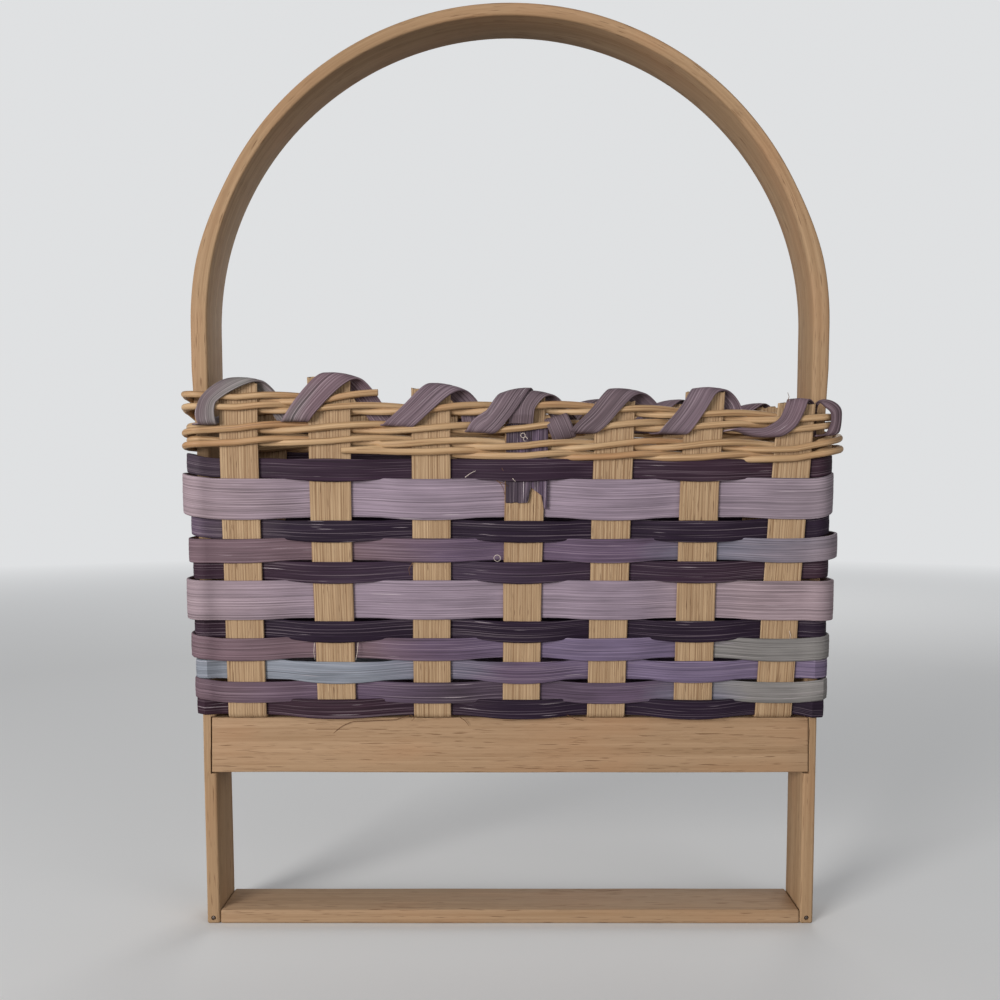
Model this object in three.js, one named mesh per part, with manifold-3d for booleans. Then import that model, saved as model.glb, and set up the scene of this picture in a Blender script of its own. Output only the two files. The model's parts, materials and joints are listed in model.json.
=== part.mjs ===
// A narrow basket woven on a bentwood hoop handle, which carries it and hangs it up.
// Sizes are millimetres, +Z is up and the front faces -Y. The origin is the middle of the foot, on the table.

import * as THREE from "three";
import { mergeVertices } from "three/addons/utils/BufferGeometryUtils.js";
import Module from "manifold-3d";

// Hoop handle: one strip bent into an arch on two legs, which draw in a little towards the feet
const hoopHeight = 370;
const hoopWidth = 254;
const footSpread = 243;
const hoopDepth = 22;
const hoopThickness = 5.2;
const edgeRound = 0.9;

// Base crosspiece: a flat bar between the feet, with a tongue in each leg and a pin through it
const baseThickness = 5.5;
const tongueWidth = 13;
const tongueThickness = 2.4;
const tongueLength = 3;
const tongueHeight = 2.3;
const pinDiameter = 1.3;
const pinLength = 9;

// Rails: two boards on edge, let into the legs, one flush with the front and one with the back
const railHeight = 22;
const railThickness = 5.5;
const railTop = 82.7;
const housingDepth = 2;
const housingSlack = 0.9;

// Stakes: flat reeds that run down the front, over both rails and up the back
const stakeCount = 7;
const stakePitch = 35.3;
const stakeShift = 1.2;
const middleShift = 2.8;
const stakeThickness = 1.2;
const stakeWidthAtRim = 16.2;
const stakeWidthAtFold = 13.8;
const stakeTop = 214.6;
const foldRadius = 2;
const foldOverhang = 2.2;
const rimHalfDepth = 27.2;
const cornerMargin = 0.8;

// Rim: the reeds were pushed down harder towards the right, so the stakes' tops are that much lower there
const rimDrop = 7;

// Woven rows: flat reeds in closed rounds, over one stake and under the next, and outside both legs, which
// a stiff reed passes at a distance. A row bows down where it is outside a stake, and up where it is inside
// one.
const reedThickness = 1.2;
const wideReed = 15.9;
const mauveReed = 8.9;
const darkReed = 8.3;
const narrowPitch = 7.6;
const rowLift = 1.4;
const rowBow = 0.6;
const wideBulge = 3.4;
const mauveBulge = 2.2;
const darkBulge = 1;

// Twining at the rim: round reeds in pairs that turn about each other between the stakes
const twineDiameter = 2.9;
const twineBulge = 2.6;
const lowerTwineRows = 2;
const upperTwineRows = 2;
const twineRise = 0.8;

// Lashing: one flat reed wound round the upper twining and over each stake's top. Each of a turn's four
// bends takes the given share of its side's run along the rim, and the lashing eases out over a given
// length before a leg.
const lashWidth = 12.6;
const cornerLashWidth = 9;
const lashThickness = 1;
const lashSlotRound = 1.4;
const lashTopRound = 4;
const lashTopSlack = 2.6;
const lashCrown = 2.4;
const lashCornerRun = 0.12;
const lashEase = 8;
const lashStartDrop = 6;
const tailWidth = 15.2;
const tailThickness = 0.5;
const tailEnd = 169;
const tearStart = 2.8;
const tearPeak = 4.4;
const tearPeakRise = 5.8;
const tearSideRise = 3;

// Clearances: between pieces that touch, and round a pin or a tongue
const touchGap = 0.3;
const jointGap = 0.3;

// Fineness: steps round each curve, and how close two points are that count as one
const archSteps = 24;
const edgeSteps = 2;
const pinSides = 10;
const twineSides = 5;
const foldSteps = 3;
const weldDistance = 1e-4;

const oak = { color: 0xc9a77c, roughness: 0.6, metalness: 0 };
const steel = { color: 0x6f675d, roughness: 0.4, metalness: 0.8 };
const naturalReed = { color: 0xc6a273, roughness: 0.7, metalness: 0 };
const roundReed = { color: 0xc8a068, roughness: 0.55, metalness: 0 };
const darkPurple = { color: 0x3b2d40, roughness: 0.6, metalness: 0 };
const lavender = { color: 0x93838f, roughness: 0.7, metalness: 0 };
const mauve = { color: 0x73647a, roughness: 0.65, metalness: 0 };
const paleBlue = { color: 0x857e98, roughness: 0.7, metalness: 0 };
const greyPurple = { color: 0x6d5d69, roughness: 0.5, metalness: 0 };

// A narrow reed is squeezed to its pitch where it crosses its neighbours
const wide = { thickness: reedThickness, width: wideReed, pitch: wideReed + touchGap, bulge: wideBulge };
const medium = { thickness: reedThickness, width: mauveReed, pitch: narrowPitch, bulge: mauveBulge };
const narrow = { thickness: reedThickness, width: darkReed, pitch: narrowPitch, bulge: darkBulge };
const twine = { thickness: twineDiameter, bulge: twineBulge };

// The rows from the lowest up. A row that is over the odd stakes in front is over the even ones behind.
const rows = [
  { reed: narrow, over: "even", finish: darkPurple },
  { reed: medium, over: "odd", finish: mauve },
  { reed: medium, over: "even", finish: paleBlue },
  { reed: medium, over: "odd", finish: mauve },
  { reed: narrow, over: "even", finish: darkPurple },
  { reed: wide, over: "odd", finish: lavender },
  { reed: narrow, over: "even", finish: darkPurple },
  { reed: medium, over: "odd", finish: mauve },
  { reed: narrow, over: "even", finish: darkPurple },
  { reed: wide, over: "odd", finish: lavender },
  { reed: narrow, over: "even", finish: darkPurple },
];

// Where the hoop runs: each leg is a straight line that meets the arch as a tangent
const archRadius = hoopWidth / 2;
const archCentre = hoopHeight - archRadius;
const footHalf = footSpread / 2;
const footReach = Math.hypot(footHalf, archCentre);
const legSlant = Math.acos(archRadius / footReach) - Math.atan2(archCentre, footHalf);
const legOutside = (z) => footHalf - z * Math.tan(legSlant);
const legInside = (z) => legOutside(z) - hoopThickness / Math.cos(legSlant);
const legMiddle = (z) => (legOutside(z) + legInside(z)) / 2;
const halfDepth = hoopDepth / 2;

// Where the wall runs: from the fold over the rails, out to the rim
const stakeFloor = railTop + touchGap + stakeThickness / 2;
const foldCentre = stakeFloor + foldRadius;
const foldHalfDepth = halfDepth + foldOverhang;
const wallLean = (rimHalfDepth - foldHalfDepth) / (stakeTop - foldCentre);
const wallHalfDepth = (z) => foldHalfDepth + (z - foldCentre) * wallLean;
const stakeRise = (z) => (z - foldCentre) / (stakeTop - foldCentre);
const stakeWidth = (z) => stakeWidthAtFold + (stakeWidthAtRim - stakeWidthAtFold) * Math.max(0, stakeRise(z));

// The stakes are spaced by eye, and the middle ones stand a little to the right of an even spacing
const middleStake = (stakeCount + 1) / 2;
function stakeX(number) {
  const step = number - middleStake;
  const share = 1 - (step / (middleStake - 1)) ** 2;
  return step * stakePitch + stakeShift + middleShift * share;
}

// Heights up the wall
const rowsStart = stakeFloor + stakeThickness / 2 + rowLift + rowBow;
const topReed = rows[rows.length - 1].reed;
const topBulge = (topReed.width - topReed.pitch + touchGap) / 2 + rowBow;
const rowsEnd = rows.reduce((height, row) => height + row.reed.pitch, rowsStart) + topBulge;
const twineOffset = (twineDiameter + touchGap) / 2;
const twinePitch = 2 * twineOffset + twineDiameter + touchGap;
const lowerTwineEnd = rowsEnd + lowerTwineRows * twinePitch;
const lashSlot = lowerTwineEnd + lashThickness / 2;
const upperTwineStart = lashSlot + lashThickness / 2 + touchGap;
const upperTwineEnd = upperTwineStart + upperTwineRows * twinePitch - touchGap;
const rimTop = Math.max(stakeTop, upperTwineEnd) + touchGap + lashTopSlack + lashThickness / 2;
const cornerStart = stakeX(stakeCount) + stakeWidthAtRim / 2 + cornerMargin;

// The height that a place on the rim has sunk to, in proportion to its height above the rows
function sunk(x, height) {
  const toRight = THREE.MathUtils.clamp(x / hoopWidth + 0.5, 0, 1);
  const aboveRows = Math.max(height - rowsEnd, 0) / (stakeTop - rowsEnd);
  return height - rimDrop * toRight * aboveRows;
}

// Angles
const quarterTurn = Math.PI / 2;

const wasm = await Module();
wasm.setup();

// Turns a three.js geometry into a solid that can be cut
function toSolid(geometry) {
  const bare = geometry.clone();
  bare.deleteAttribute("normal");
  bare.deleteAttribute("uv");
  const merged = mergeVertices(bare, weldDistance);
  return new wasm.Manifold(
    new wasm.Mesh({
      numProp: 3,
      vertProperties: merged.attributes.position.array,
      triVerts: new Uint32Array(merged.index.array),
    }),
  );
}

function fromSolid(solid) {
  const cut = solid.getMesh();
  const geometry = new THREE.BufferGeometry();
  geometry.setAttribute("position", new THREE.BufferAttribute(cut.vertProperties, 3));
  geometry.setIndex(new THREE.BufferAttribute(cut.triVerts, 1));
  geometry.computeVertexNormals();
  return geometry;
}

// A box between two corners
function block(low, high) {
  const size = new THREE.Vector3().subVectors(high, low);
  const centre = new THREE.Vector3().addVectors(high, low).multiplyScalar(0.5);
  return new THREE.BoxGeometry(size.x, size.y, size.z).translate(centre.x, centre.y, centre.z);
}

// A board along X with its four long edges rounded, between two corners
function board(low, high, round) {
  const deep = high.y - low.y - 2 * round;
  const tall = high.z - low.z - 2 * round;
  const section = new THREE.Shape();
  section.moveTo(0, -round);
  section.lineTo(deep, -round);
  section.absarc(deep, 0, round, -quarterTurn, 0, false);
  section.lineTo(deep + round, tall);
  section.absarc(deep, tall, round, 0, quarterTurn, false);
  section.lineTo(0, tall + round);
  section.absarc(0, tall, round, quarterTurn, 2 * quarterTurn, false);
  section.lineTo(-round, 0);
  section.absarc(0, 0, round, 2 * quarterTurn, 3 * quarterTurn, false);
  const bar = new THREE.ExtrudeGeometry(section, {
    depth: high.x - low.x,
    bevelEnabled: false,
    curveSegments: edgeSteps,
  });
  // The section is drawn in Y and Z, and runs along X
  const along = new THREE.Matrix4().makeBasis(
    new THREE.Vector3(0, 1, 0),
    new THREE.Vector3(0, 0, 1),
    new THREE.Vector3(1, 0, 0),
  );
  return bar.applyMatrix4(along).translate(low.x, low.y + round, low.z + round);
}

// One closed solid through sections that have as many points each. A looped one joins its last section to
// its first.
function loft(sections, looped) {
  const around = sections[0].length;
  const joins = looped ? sections.length : sections.length - 1;
  const index = [];
  for (let i = 0; i < joins; i += 1) {
    const here = i * around;
    const next = ((i + 1) % sections.length) * around;
    for (let j = 0; j < around; j += 1) {
      const k = (j + 1) % around;
      index.push(here + j, here + k, next + k, here + j, next + k, next + j);
    }
  }
  if (!looped) {
    const last = joins * around;
    for (let j = 1; j < around - 1; j += 1) {
      index.push(0, j + 1, j, last, last + j, last + j + 1);
    }
  }
  const points = sections.flat();
  const volume = index.reduce((sum, _, i) => {
    if (i % 3) return sum;
    const [a, b, c] = [points[index[i]], points[index[i + 1]], points[index[i + 2]]];
    return sum + a.dot(b.clone().cross(c)) / 6;
  }, 0);
  // Sections that go round the other way give faces that point in, so the order of their corners is turned
  if (volume < 0) index.reverse();
  const geometry = new THREE.BufferGeometry().setFromPoints(points);
  geometry.setIndex(index);
  geometry.computeVertexNormals();
  return geometry;
}

// The plan of the wall at one height: straight in front, a quarter ellipse round each corner and straight
// past each leg. The distance along it starts at the left end of the front, and the second half is the
// first turned about Z.
function wallPlan(z) {
  const wall = wallHalfDepth(z);
  const turnX = legMiddle(z) - cornerStart;
  const turnY = wall - halfDepth;
  const front = 2 * cornerStart;
  const turn = quarterTurn * Math.sqrt((turnX ** 2 + turnY ** 2) / 2);
  const half = front + turn + hoopDepth + turn;

  function corner(angle, sign) {
    const x = cornerStart + turnX * Math.sin(angle);
    const y = sign * (halfDepth + turnY * Math.cos(angle));
    const normal = new THREE.Vector2(Math.sin(angle) / turnX, (sign * Math.cos(angle)) / turnY);
    return { point: new THREE.Vector2(x, y), normal: normal.normalize() };
  }

  function firstHalf(along) {
    if (along <= front) {
      return { point: new THREE.Vector2(along - cornerStart, -wall), normal: new THREE.Vector2(0, -1) };
    }
    if (along <= front + turn) {
      return corner(((along - front) / turn) * quarterTurn, -1);
    }
    if (along <= front + turn + hoopDepth) {
      const y = along - front - turn - halfDepth;
      return { point: new THREE.Vector2(legMiddle(z), y), normal: new THREE.Vector2(1, 0) };
    }
    return corner(((half - along) / turn) * quarterTurn, 1);
  }

  // A point at a distance along the plan, a distance out from the wall's middle and a height
  function at(along, out, height) {
    const whole = THREE.MathUtils.euclideanModulo(along, 2 * half);
    const flip = whole >= half ? -1 : 1;
    const { point, normal } = firstHalf(whole >= half ? whole - half : whole);
    const level = sunk(flip * point.x, height);
    const rise = level - z;
    const x = point.x + normal.x * (out - rise * Math.tan(legSlant));
    const y = point.y + normal.y * (out + rise * wallLean);
    return new THREE.Vector3(flip * x, flip * y, level);
  }

  // The uprights in order round the wall: front stakes, right leg, back stakes, left leg
  const uprights = [];
  const stakeNumbers = Array.from({ length: stakeCount }, (_, i) => i + 1);
  for (const number of stakeNumbers) {
    uprights.push({ number, side: "front", along: cornerStart + stakeX(number) });
  }
  uprights.push({ side: "leg", along: front + turn + halfDepth });
  for (const number of stakeNumbers.slice().reverse()) {
    uprights.push({ number, side: "back", along: half + cornerStart - stakeX(number) });
  }
  uprights.push({ side: "leg", along: half + front + turn + halfDepth });
  for (const upright of uprights) {
    const leg = upright.side === "leg";
    upright.halfWidth = leg ? halfDepth : stakeWidth(z) / 2 + touchGap;
    upright.halfThickness = leg ? hoopThickness / 2 : stakeThickness / 2;
  }
  return { at, uprights, turn, lap: 2 * half };
}

// How far a reed's middle runs from the wall's middle at an upright, outwards or inwards. The tail of the
// lashing lies on the middle stake, and lifts what crosses it.
const tailStake = Math.ceil(middleStake);
const tailLift = tailThickness + touchGap;
function reach(upright, outside, reed, z) {
  const onTail = upright.side === "front" && upright.number === tailStake && z > tailEnd;
  const distance = upright.halfThickness + touchGap + reed.thickness / 2;
  if (!outside) return -distance;
  if (upright.side === "leg") return distance + reed.bulge;
  return distance + (onTail ? tailLift : 0);
}

function bow(upright, outside) {
  if (upright.side === "leg") return 0;
  return outside ? -rowBow : rowBow;
}

// The stops of a looped reed along the wall: two at each upright, where it has its bow, and some in each
// gap, where it swings over to its side of the next upright on half a cosine, with no bow, so that it
// clears its neighbours. The gaps beside a leg turn the corner, so they have more stops.
const swingShares = [0.25, 0.75];
const cornerShares = [0.2, 0.4, 0.6, 0.8];
function weavePath(plan, isOutside, reed, z) {
  const count = plan.uprights.length;
  const stops = [];
  plan.uprights.forEach((upright, i) => {
    const nextIndex = (i + 1) % count;
    const next = plan.uprights[nextIndex];
    const outside = isOutside(upright, i);
    const nextOutside = isOutside(next, nextIndex);
    const out = reach(upright, outside, reed, z);
    const nextOut = reach(next, nextOutside, reed, z);
    const rise = bow(upright, outside);
    const leave = upright.along + upright.halfWidth;
    const arrive = next.along - next.halfWidth + (nextIndex === 0 ? plan.lap : 0);
    stops.push({ along: upright.along - upright.halfWidth, out, rise, outside, upright, end: -1 });
    stops.push({ along: leave, out, rise, outside, upright, end: 1 });
    const byLeg = upright.side === "leg" || next.side === "leg";
    for (const share of byLeg ? cornerShares : swingShares) {
      const swing = (1 - Math.cos(Math.PI * share)) / 2;
      const along = THREE.MathUtils.lerp(leave, arrive, share);
      stops.push({ along, out: THREE.MathUtils.lerp(out, nextOut, swing), rise: 0, outside });
    }
  });
  return stops;
}

// One flat row: full width over the stakes, and squeezed to its pitch where it crosses its neighbours
function weaveRow(row, bottom) {
  const { width, pitch } = row.reed;
  const middle = bottom + pitch / 2;
  const plan = wallPlan(middle);
  function isOutside(upright) {
    const odd = upright.number % 2 === 1;
    const overOdd = (row.over === "odd") === (upright.side === "front");
    return upright.side === "leg" || odd === overOdd;
  }
  const sections = weavePath(plan, isOutside, row.reed, middle).map((stop) => {
    const onStake = stop.upright && stop.upright.side !== "leg";
    const half = (onStake ? width : pitch - touchGap) / 2;
    const low = middle + stop.rise - half;
    const high = middle + stop.rise + half;
    const outer = stop.out + reedThickness / 2;
    const inner = stop.out - reedThickness / 2;
    return [
      plan.at(stop.along, outer, low),
      plan.at(stop.along, inner, low),
      plan.at(stop.along, inner, high),
      plan.at(stop.along, outer, high),
    ];
  });
  return loft(sections, true);
}

// One strand of a twined pair: outside one upright and inside the next. It rises as it crosses in front of
// a stake, passes above the other strand on its way in, and below it on its way out.
function twineStrand(middle, first) {
  const plan = wallPlan(middle);
  const radius = twineDiameter / 2;
  const isOutside = (upright, i) => i % 2 === first;
  const sections = weavePath(plan, isOutside, twine, middle).map((stop) => {
    const turn = stop.upright ? stop.end * twineRise : 1;
    const height = middle + (stop.outside ? turn : -turn) * twineOffset;
    return Array.from({ length: twineSides }, (_, side) => {
      const angle = (2 * Math.PI * side) / twineSides;
      return plan.at(stop.along, stop.out - radius * Math.cos(angle), height + radius * Math.sin(angle));
    });
  });
  return loft(sections, true);
}

// A stake's middle line in Y and Z, from the front rim to the back one, with the width at each point
function stakeStrip(number) {
  const top = sunk(stakeX(number), stakeTop);
  const frontHalf = [{ y: -wallHalfDepth(top), z: top }];
  for (let i = 0; i <= foldSteps; i += 1) {
    const angle = (i / foldSteps) * quarterTurn;
    const y = -foldHalfDepth + foldRadius * (1 - Math.cos(angle));
    frontHalf.push({ y, z: foldCentre - foldRadius * Math.sin(angle) });
  }
  const backHalf = frontHalf.slice().reverse().map(({ y, z }) => ({ y: -y, z }));
  const line = [...frontHalf, ...backHalf];
  const sections = line.map((point, i) => {
    const before = line[Math.max(i - 1, 0)];
    const after = line[Math.min(i + 1, line.length - 1)];
    const run = new THREE.Vector2(after.y - before.y, after.z - before.z).normalize();
    const x = stakeX(number);
    const half = stakeWidth(point.z) / 2;
    const thick = stakeThickness / 2;
    const offset = { y: -run.y * thick, z: run.x * thick };
    return [
      new THREE.Vector3(x - half, point.y - offset.y, point.z - offset.z),
      new THREE.Vector3(x + half, point.y - offset.y, point.z - offset.z),
      new THREE.Vector3(x + half, point.y + offset.y, point.z + offset.z),
      new THREE.Vector3(x - half, point.y + offset.y, point.z + offset.z),
    ];
  });
  return loft(sections, false);
}

// The hoop as a flat outline, bent round, with its edges eased
function hoopOutline(inset) {
  const outer = archRadius - inset;
  const inner = archRadius - hoopThickness + inset;
  const footOut = legOutside(inset) - inset / Math.cos(legSlant);
  const footIn = legInside(inset) + inset / Math.cos(legSlant);
  const outline = new THREE.Shape();
  outline.moveTo(footIn, inset);
  outline.lineTo(footOut, inset);
  outline.absarc(0, archCentre, outer, legSlant, Math.PI - legSlant, false);
  outline.lineTo(-footOut, inset);
  outline.lineTo(-footIn, inset);
  outline.absarc(0, archCentre, inner, Math.PI - legSlant, legSlant, true);
  return outline;
}

const pinX = legMiddle(tongueHeight);

function pinRod(diameter, length) {
  const rod = new THREE.CylinderGeometry(diameter / 2, diameter / 2, length, pinSides);
  return rod.translate(pinX, length / 2 - halfDepth, tongueHeight);
}

// Takes a cut out of a solid on the right, and its mirror image out on the left
function cutBothSides(solid, cut) {
  return solid.subtract(cut).subtract(cut.mirror([1, 0, 0]));
}

// The hole for a pin, from the front
function pinHole() {
  return toSolid(pinRod(pinDiameter + 2 * jointGap, pinLength + jointGap));
}

// The pocket in a leg that the base's tongue sits in
function tonguePocket() {
  const reachIn = legInside(tongueHeight) + tongueLength + jointGap;
  const halfWidth = tongueWidth / 2 + jointGap;
  const halfHeight = tongueThickness / 2 + jointGap;
  return toSolid(
    block(
      new THREE.Vector3(0, -halfWidth, tongueHeight - halfHeight),
      new THREE.Vector3(reachIn, halfWidth, tongueHeight + halfHeight),
    ),
  );
}

// The housing in a leg that a rail's end sits in, open to the leg's front or back face
function railHousing(face) {
  const reachIn = legInside(railTop - railHeight / 2) + housingDepth;
  const open = face * hoopDepth;
  const floor = face * (halfDepth - railThickness - jointGap);
  return toSolid(
    block(
      new THREE.Vector3(0, Math.min(open, floor), railTop - railHeight - housingSlack),
      new THREE.Vector3(reachIn, Math.max(open, floor), railTop + jointGap),
    ),
  );
}

function hoopHandle() {
  const strip = new THREE.ExtrudeGeometry(hoopOutline(edgeRound), {
    depth: hoopDepth - 2 * edgeRound,
    curveSegments: archSteps,
    bevelThickness: edgeRound,
    bevelSize: edgeRound,
    bevelSegments: edgeSteps,
  });
  strip.rotateX(quarterTurn).translate(0, halfDepth - edgeRound, 0);
  let solid = toSolid(strip);
  for (const cut of [tonguePocket(), railHousing(-1), railHousing(1), pinHole()]) {
    solid = cutBothSides(solid, cut);
  }
  return fromSolid(solid);
}

function baseCrosspiece() {
  const end = Math.min(legInside(0), legInside(baseThickness)) - jointGap;
  const bar = board(
    new THREE.Vector3(-end, -halfDepth, 0),
    new THREE.Vector3(end, halfDepth, baseThickness),
    edgeRound,
  );
  const tip = legInside(tongueHeight) + tongueLength;
  const tongue = block(
    new THREE.Vector3(-tip, -tongueWidth / 2, tongueHeight - tongueThickness / 2),
    new THREE.Vector3(tip, tongueWidth / 2, tongueHeight + tongueThickness / 2),
  );
  return fromSolid(cutBothSides(toSolid(bar).add(toSolid(tongue)), pinHole()));
}

function rail(face) {
  const end = legInside(railTop - railHeight / 2) + housingDepth - jointGap;
  const outer = face * halfDepth;
  const inner = face * (halfDepth - railThickness);
  return board(
    new THREE.Vector3(-end, Math.min(outer, inner), railTop - railHeight),
    new THREE.Vector3(end, Math.max(outer, inner), railTop),
    edgeRound / 2,
  );
}

// The lashing runs round a rounded box about the upper twining and the stakes' tops, snug in the slot under
// the twining, and loose over the tops, where it is crowned. One turn of it from below: the side it is on,
// its height, how far it stands in from the box, its normal, and the share of that side's run along the rim
// that it has made by then.
const bendShares = [0, 0.5, 1];
function lashProfile() {
  const low = lashSlot + lashSlotRound;
  const high = rimTop - lashTopRound;
  function bend(side, height, round, from, runStart) {
    return bendShares.map((share) => {
      const angle = from + share * quarterTurn;
      const out = Math.cos(angle);
      const up = Math.sin(angle);
      const run = runStart + share * lashCornerRun;
      return { side, height: height + round * up, inset: round * (1 - Math.abs(out)), out, up, run };
    });
  }
  const flat = (side) => ({ side, height: (low + high) / 2, inset: 0, out: side, up: 0, run: 0.5 });
  const runEnd = 1 - lashCornerRun;
  return [
    ...bend(1, low, lashSlotRound, -quarterTurn, 0),
    flat(1),
    ...bend(1, high, lashTopRound, 0, runEnd),
    ...bend(-1, high, lashTopRound, quarterTurn, 0),
    flat(-1),
    ...bend(-1, low, lashSlotRound, 2 * quarterTurn, runEnd),
  ];
}

function rimLashing() {
  const plan = wallPlan((lashSlot + rimTop) / 2);
  const count = plan.uprights.length;
  const clear = twineDiameter + 2 * touchGap + lashThickness / 2;
  const distance = (along, upright) => {
    const apart = THREE.MathUtils.euclideanModulo(along - upright.along, plan.lap);
    return Math.max(0, Math.min(apart, plan.lap - apart) - upright.halfWidth);
  };

  // The box is wider past the legs, which are thicker than the stakes, and in front of the tail
  const legs = plan.uprights.filter((upright) => upright.side === "leg");
  function halfBox(along, side) {
    const toLeg = Math.min(...legs.map((leg) => distance(along, leg)));
    const byLeg = 1 - THREE.MathUtils.smoothstep(toLeg, lashEase, plan.turn);
    const toTail = distance(along, plan.uprights[tailStake - 1]);
    const byTail = side > 0 ? 1 - THREE.MathUtils.smoothstep(toTail, 0, lashEase) : 0;
    const pastLeg = hoopThickness / 2 + (side > 0 ? twineBulge : 0);
    return THREE.MathUtils.lerp(stakeThickness / 2, pastLeg, byLeg) + clear + byTail * tailLift;
  }

  // Each turn comes up outside the gap before an upright and goes over a stake's top, or straight over by a
  // leg
  const turns = Array.from({ length: count }, (_, i) => {
    const index = (i + tailStake) % count;
    const upright = plan.uprights[index];
    const before = plan.uprights[(index + count - 1) % count];
    const laps = index < tailStake ? plan.lap : 0;
    const leave = before.along + before.halfWidth - (index === 0 ? plan.lap : 0);
    const under = (leave + upright.along - upright.halfWidth) / 2 + laps;
    const leg = upright.side === "leg";
    return { under, over: leg ? under : upright.along + laps, width: leg ? cornerLashWidth : lashWidth };
  });
  const lastTurn = turns[count - 1];
  turns.push({ under: lastTurn.over + stakePitch / 2, width: lashWidth });

  const sections = [];
  function addSection(along, width, step) {
    const points = [];
    for (const face of [1, -1]) {
      for (const across of [-0.5, 0, 0.5]) {
        const place = along + face * across * width;
        const skin = (face * lashThickness) / 2;
        const out = step.side * (halfBox(place, step.side) - step.inset) + step.out * skin;
        const crown = Math.max(step.up, 0) * lashCrown * (2 * across) ** 2;
        points.push(plan.at(place, out, step.height - crown + step.up * skin));
      }
    }
    sections.push(points);
  }

  // It starts outside, below the slot, and ends inside
  const profile = lashProfile();
  const start = { side: 1, height: lashSlot - lashStartDrop, inset: 0, out: 1, up: 0 };
  addSection(turns[0].under, turns[0].width, start);
  for (let turn = 0; turn < count; turn += 1) {
    const { under, over, width } = turns[turn];
    const next = turns[turn + 1];
    // The first turn has come up from its start, so it leaves out the bend in the slot
    for (const step of turn > 0 ? profile : profile.slice(bendShares.length - 1)) {
      const rising = step.side > 0;
      const from = rising ? under : over;
      const to = rising ? over : next.under;
      const stripWidth = rising ? width : THREE.MathUtils.lerp(width, next.width, step.run);
      addSection(THREE.MathUtils.lerp(from, to, step.run), stripWidth, step);
    }
  }
  return { geometry: loft(sections, false), gap: leastGap(sections, profile.length) };
}

// The least distance between two sections' corners that lie more than half a turn apart
function leastGap(sections, perTurn) {
  let least = Infinity;
  sections.forEach((section, i) => {
    for (const other of sections.slice(i + Math.ceil(perTurn / 2) + 1)) {
      for (const p of section) {
        for (const q of other) least = Math.min(least, p.distanceTo(q));
      }
    }
  });
  return least;
}

// The dyed strip that lies on the middle stake, under the twining and the top row. It ends torn off below
// them, cut short on the right, and is drawn flat, then laid on the leaning stake.
function lashTail() {
  const half = tailWidth / 2;
  const outline = new THREE.Shape();
  outline.moveTo(-half, stakeTop);
  outline.lineTo(-half, tailEnd);
  outline.lineTo(tearStart, tailEnd);
  outline.lineTo(tearPeak, tailEnd + tearPeakRise);
  outline.lineTo(half, tailEnd + tearSideRise);
  outline.lineTo(half, stakeTop);
  const strip = new THREE.ExtrudeGeometry(outline, { depth: tailThickness, bevelEnabled: false });
  const places = strip.attributes.position;
  for (let i = 0; i < places.count; i += 1) {
    const x = stakeX(tailStake) + places.getX(i);
    const z = sunk(x, places.getY(i));
    const off = wallHalfDepth(z) + stakeThickness / 2 + touchGap + places.getZ(i);
    places.setXYZ(i, x, -off, z);
  }
  return strip;
}

const basket = new THREE.Group();
function add(name, geometry, finish) {
  const mesh = new THREE.Mesh(geometry, new THREE.MeshStandardMaterial(finish));
  mesh.name = name;
  basket.add(mesh);
}

add("hoop_handle", hoopHandle(), oak);
add("base_crosspiece", baseCrosspiece(), oak);
add("left_base_pin", pinRod(pinDiameter, pinLength).translate(-2 * pinX, 0, 0), steel);
add("right_base_pin", pinRod(pinDiameter, pinLength), steel);
add("front_rail", rail(-1), oak);
add("back_rail", rail(1), oak);
for (let number = 1; number <= stakeCount; number += 1) {
  add("stake_" + number, stakeStrip(number), naturalReed);
}
let rowBottom = rowsStart;
rows.forEach((row, i) => {
  const number = String(rows.length - i).padStart(2, "0");
  add("weave_row_" + number, weaveRow(row, rowBottom), row.finish);
  rowBottom += row.reed.pitch;
});
for (let i = 0; i < lowerTwineRows + upperTwineRows; i += 1) {
  const upper = i >= lowerTwineRows;
  const start = upper ? upperTwineStart + (i - lowerTwineRows) * twinePitch : rowsEnd + i * twinePitch;
  const middle = start + twineOffset + twineDiameter / 2;
  add("rim_twine_" + (i + 1) + "_a", twineStrand(middle, 0), roundReed);
  add("rim_twine_" + (i + 1) + "_b", twineStrand(middle, 1), roundReed);
}
const lashing = rimLashing();
console.log("least gap of the lashing to itself, mm:", lashing.gap.toFixed(2));
add("rim_lashing", lashing.geometry, greyPurple);
add("lash_tail", lashTail(), greyPurple);

export default basket;
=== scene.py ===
# %% [markdown]
# # A narrow basket woven on a hoop handle
#
# One strip of oak is steamed and bent into an arch on two legs. Two rails and a foot join the legs, seven
# flat reeds stand on the rails as stakes, and dyed reeds are woven round them. Round reed is twined round
# the rim, and a dyed strip is wound over it. The solids that carry and join all this are loaded first, and
# every piece here is placed from their boxes, so that nothing has to be fitted afterwards.

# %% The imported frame
import json
import math

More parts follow.
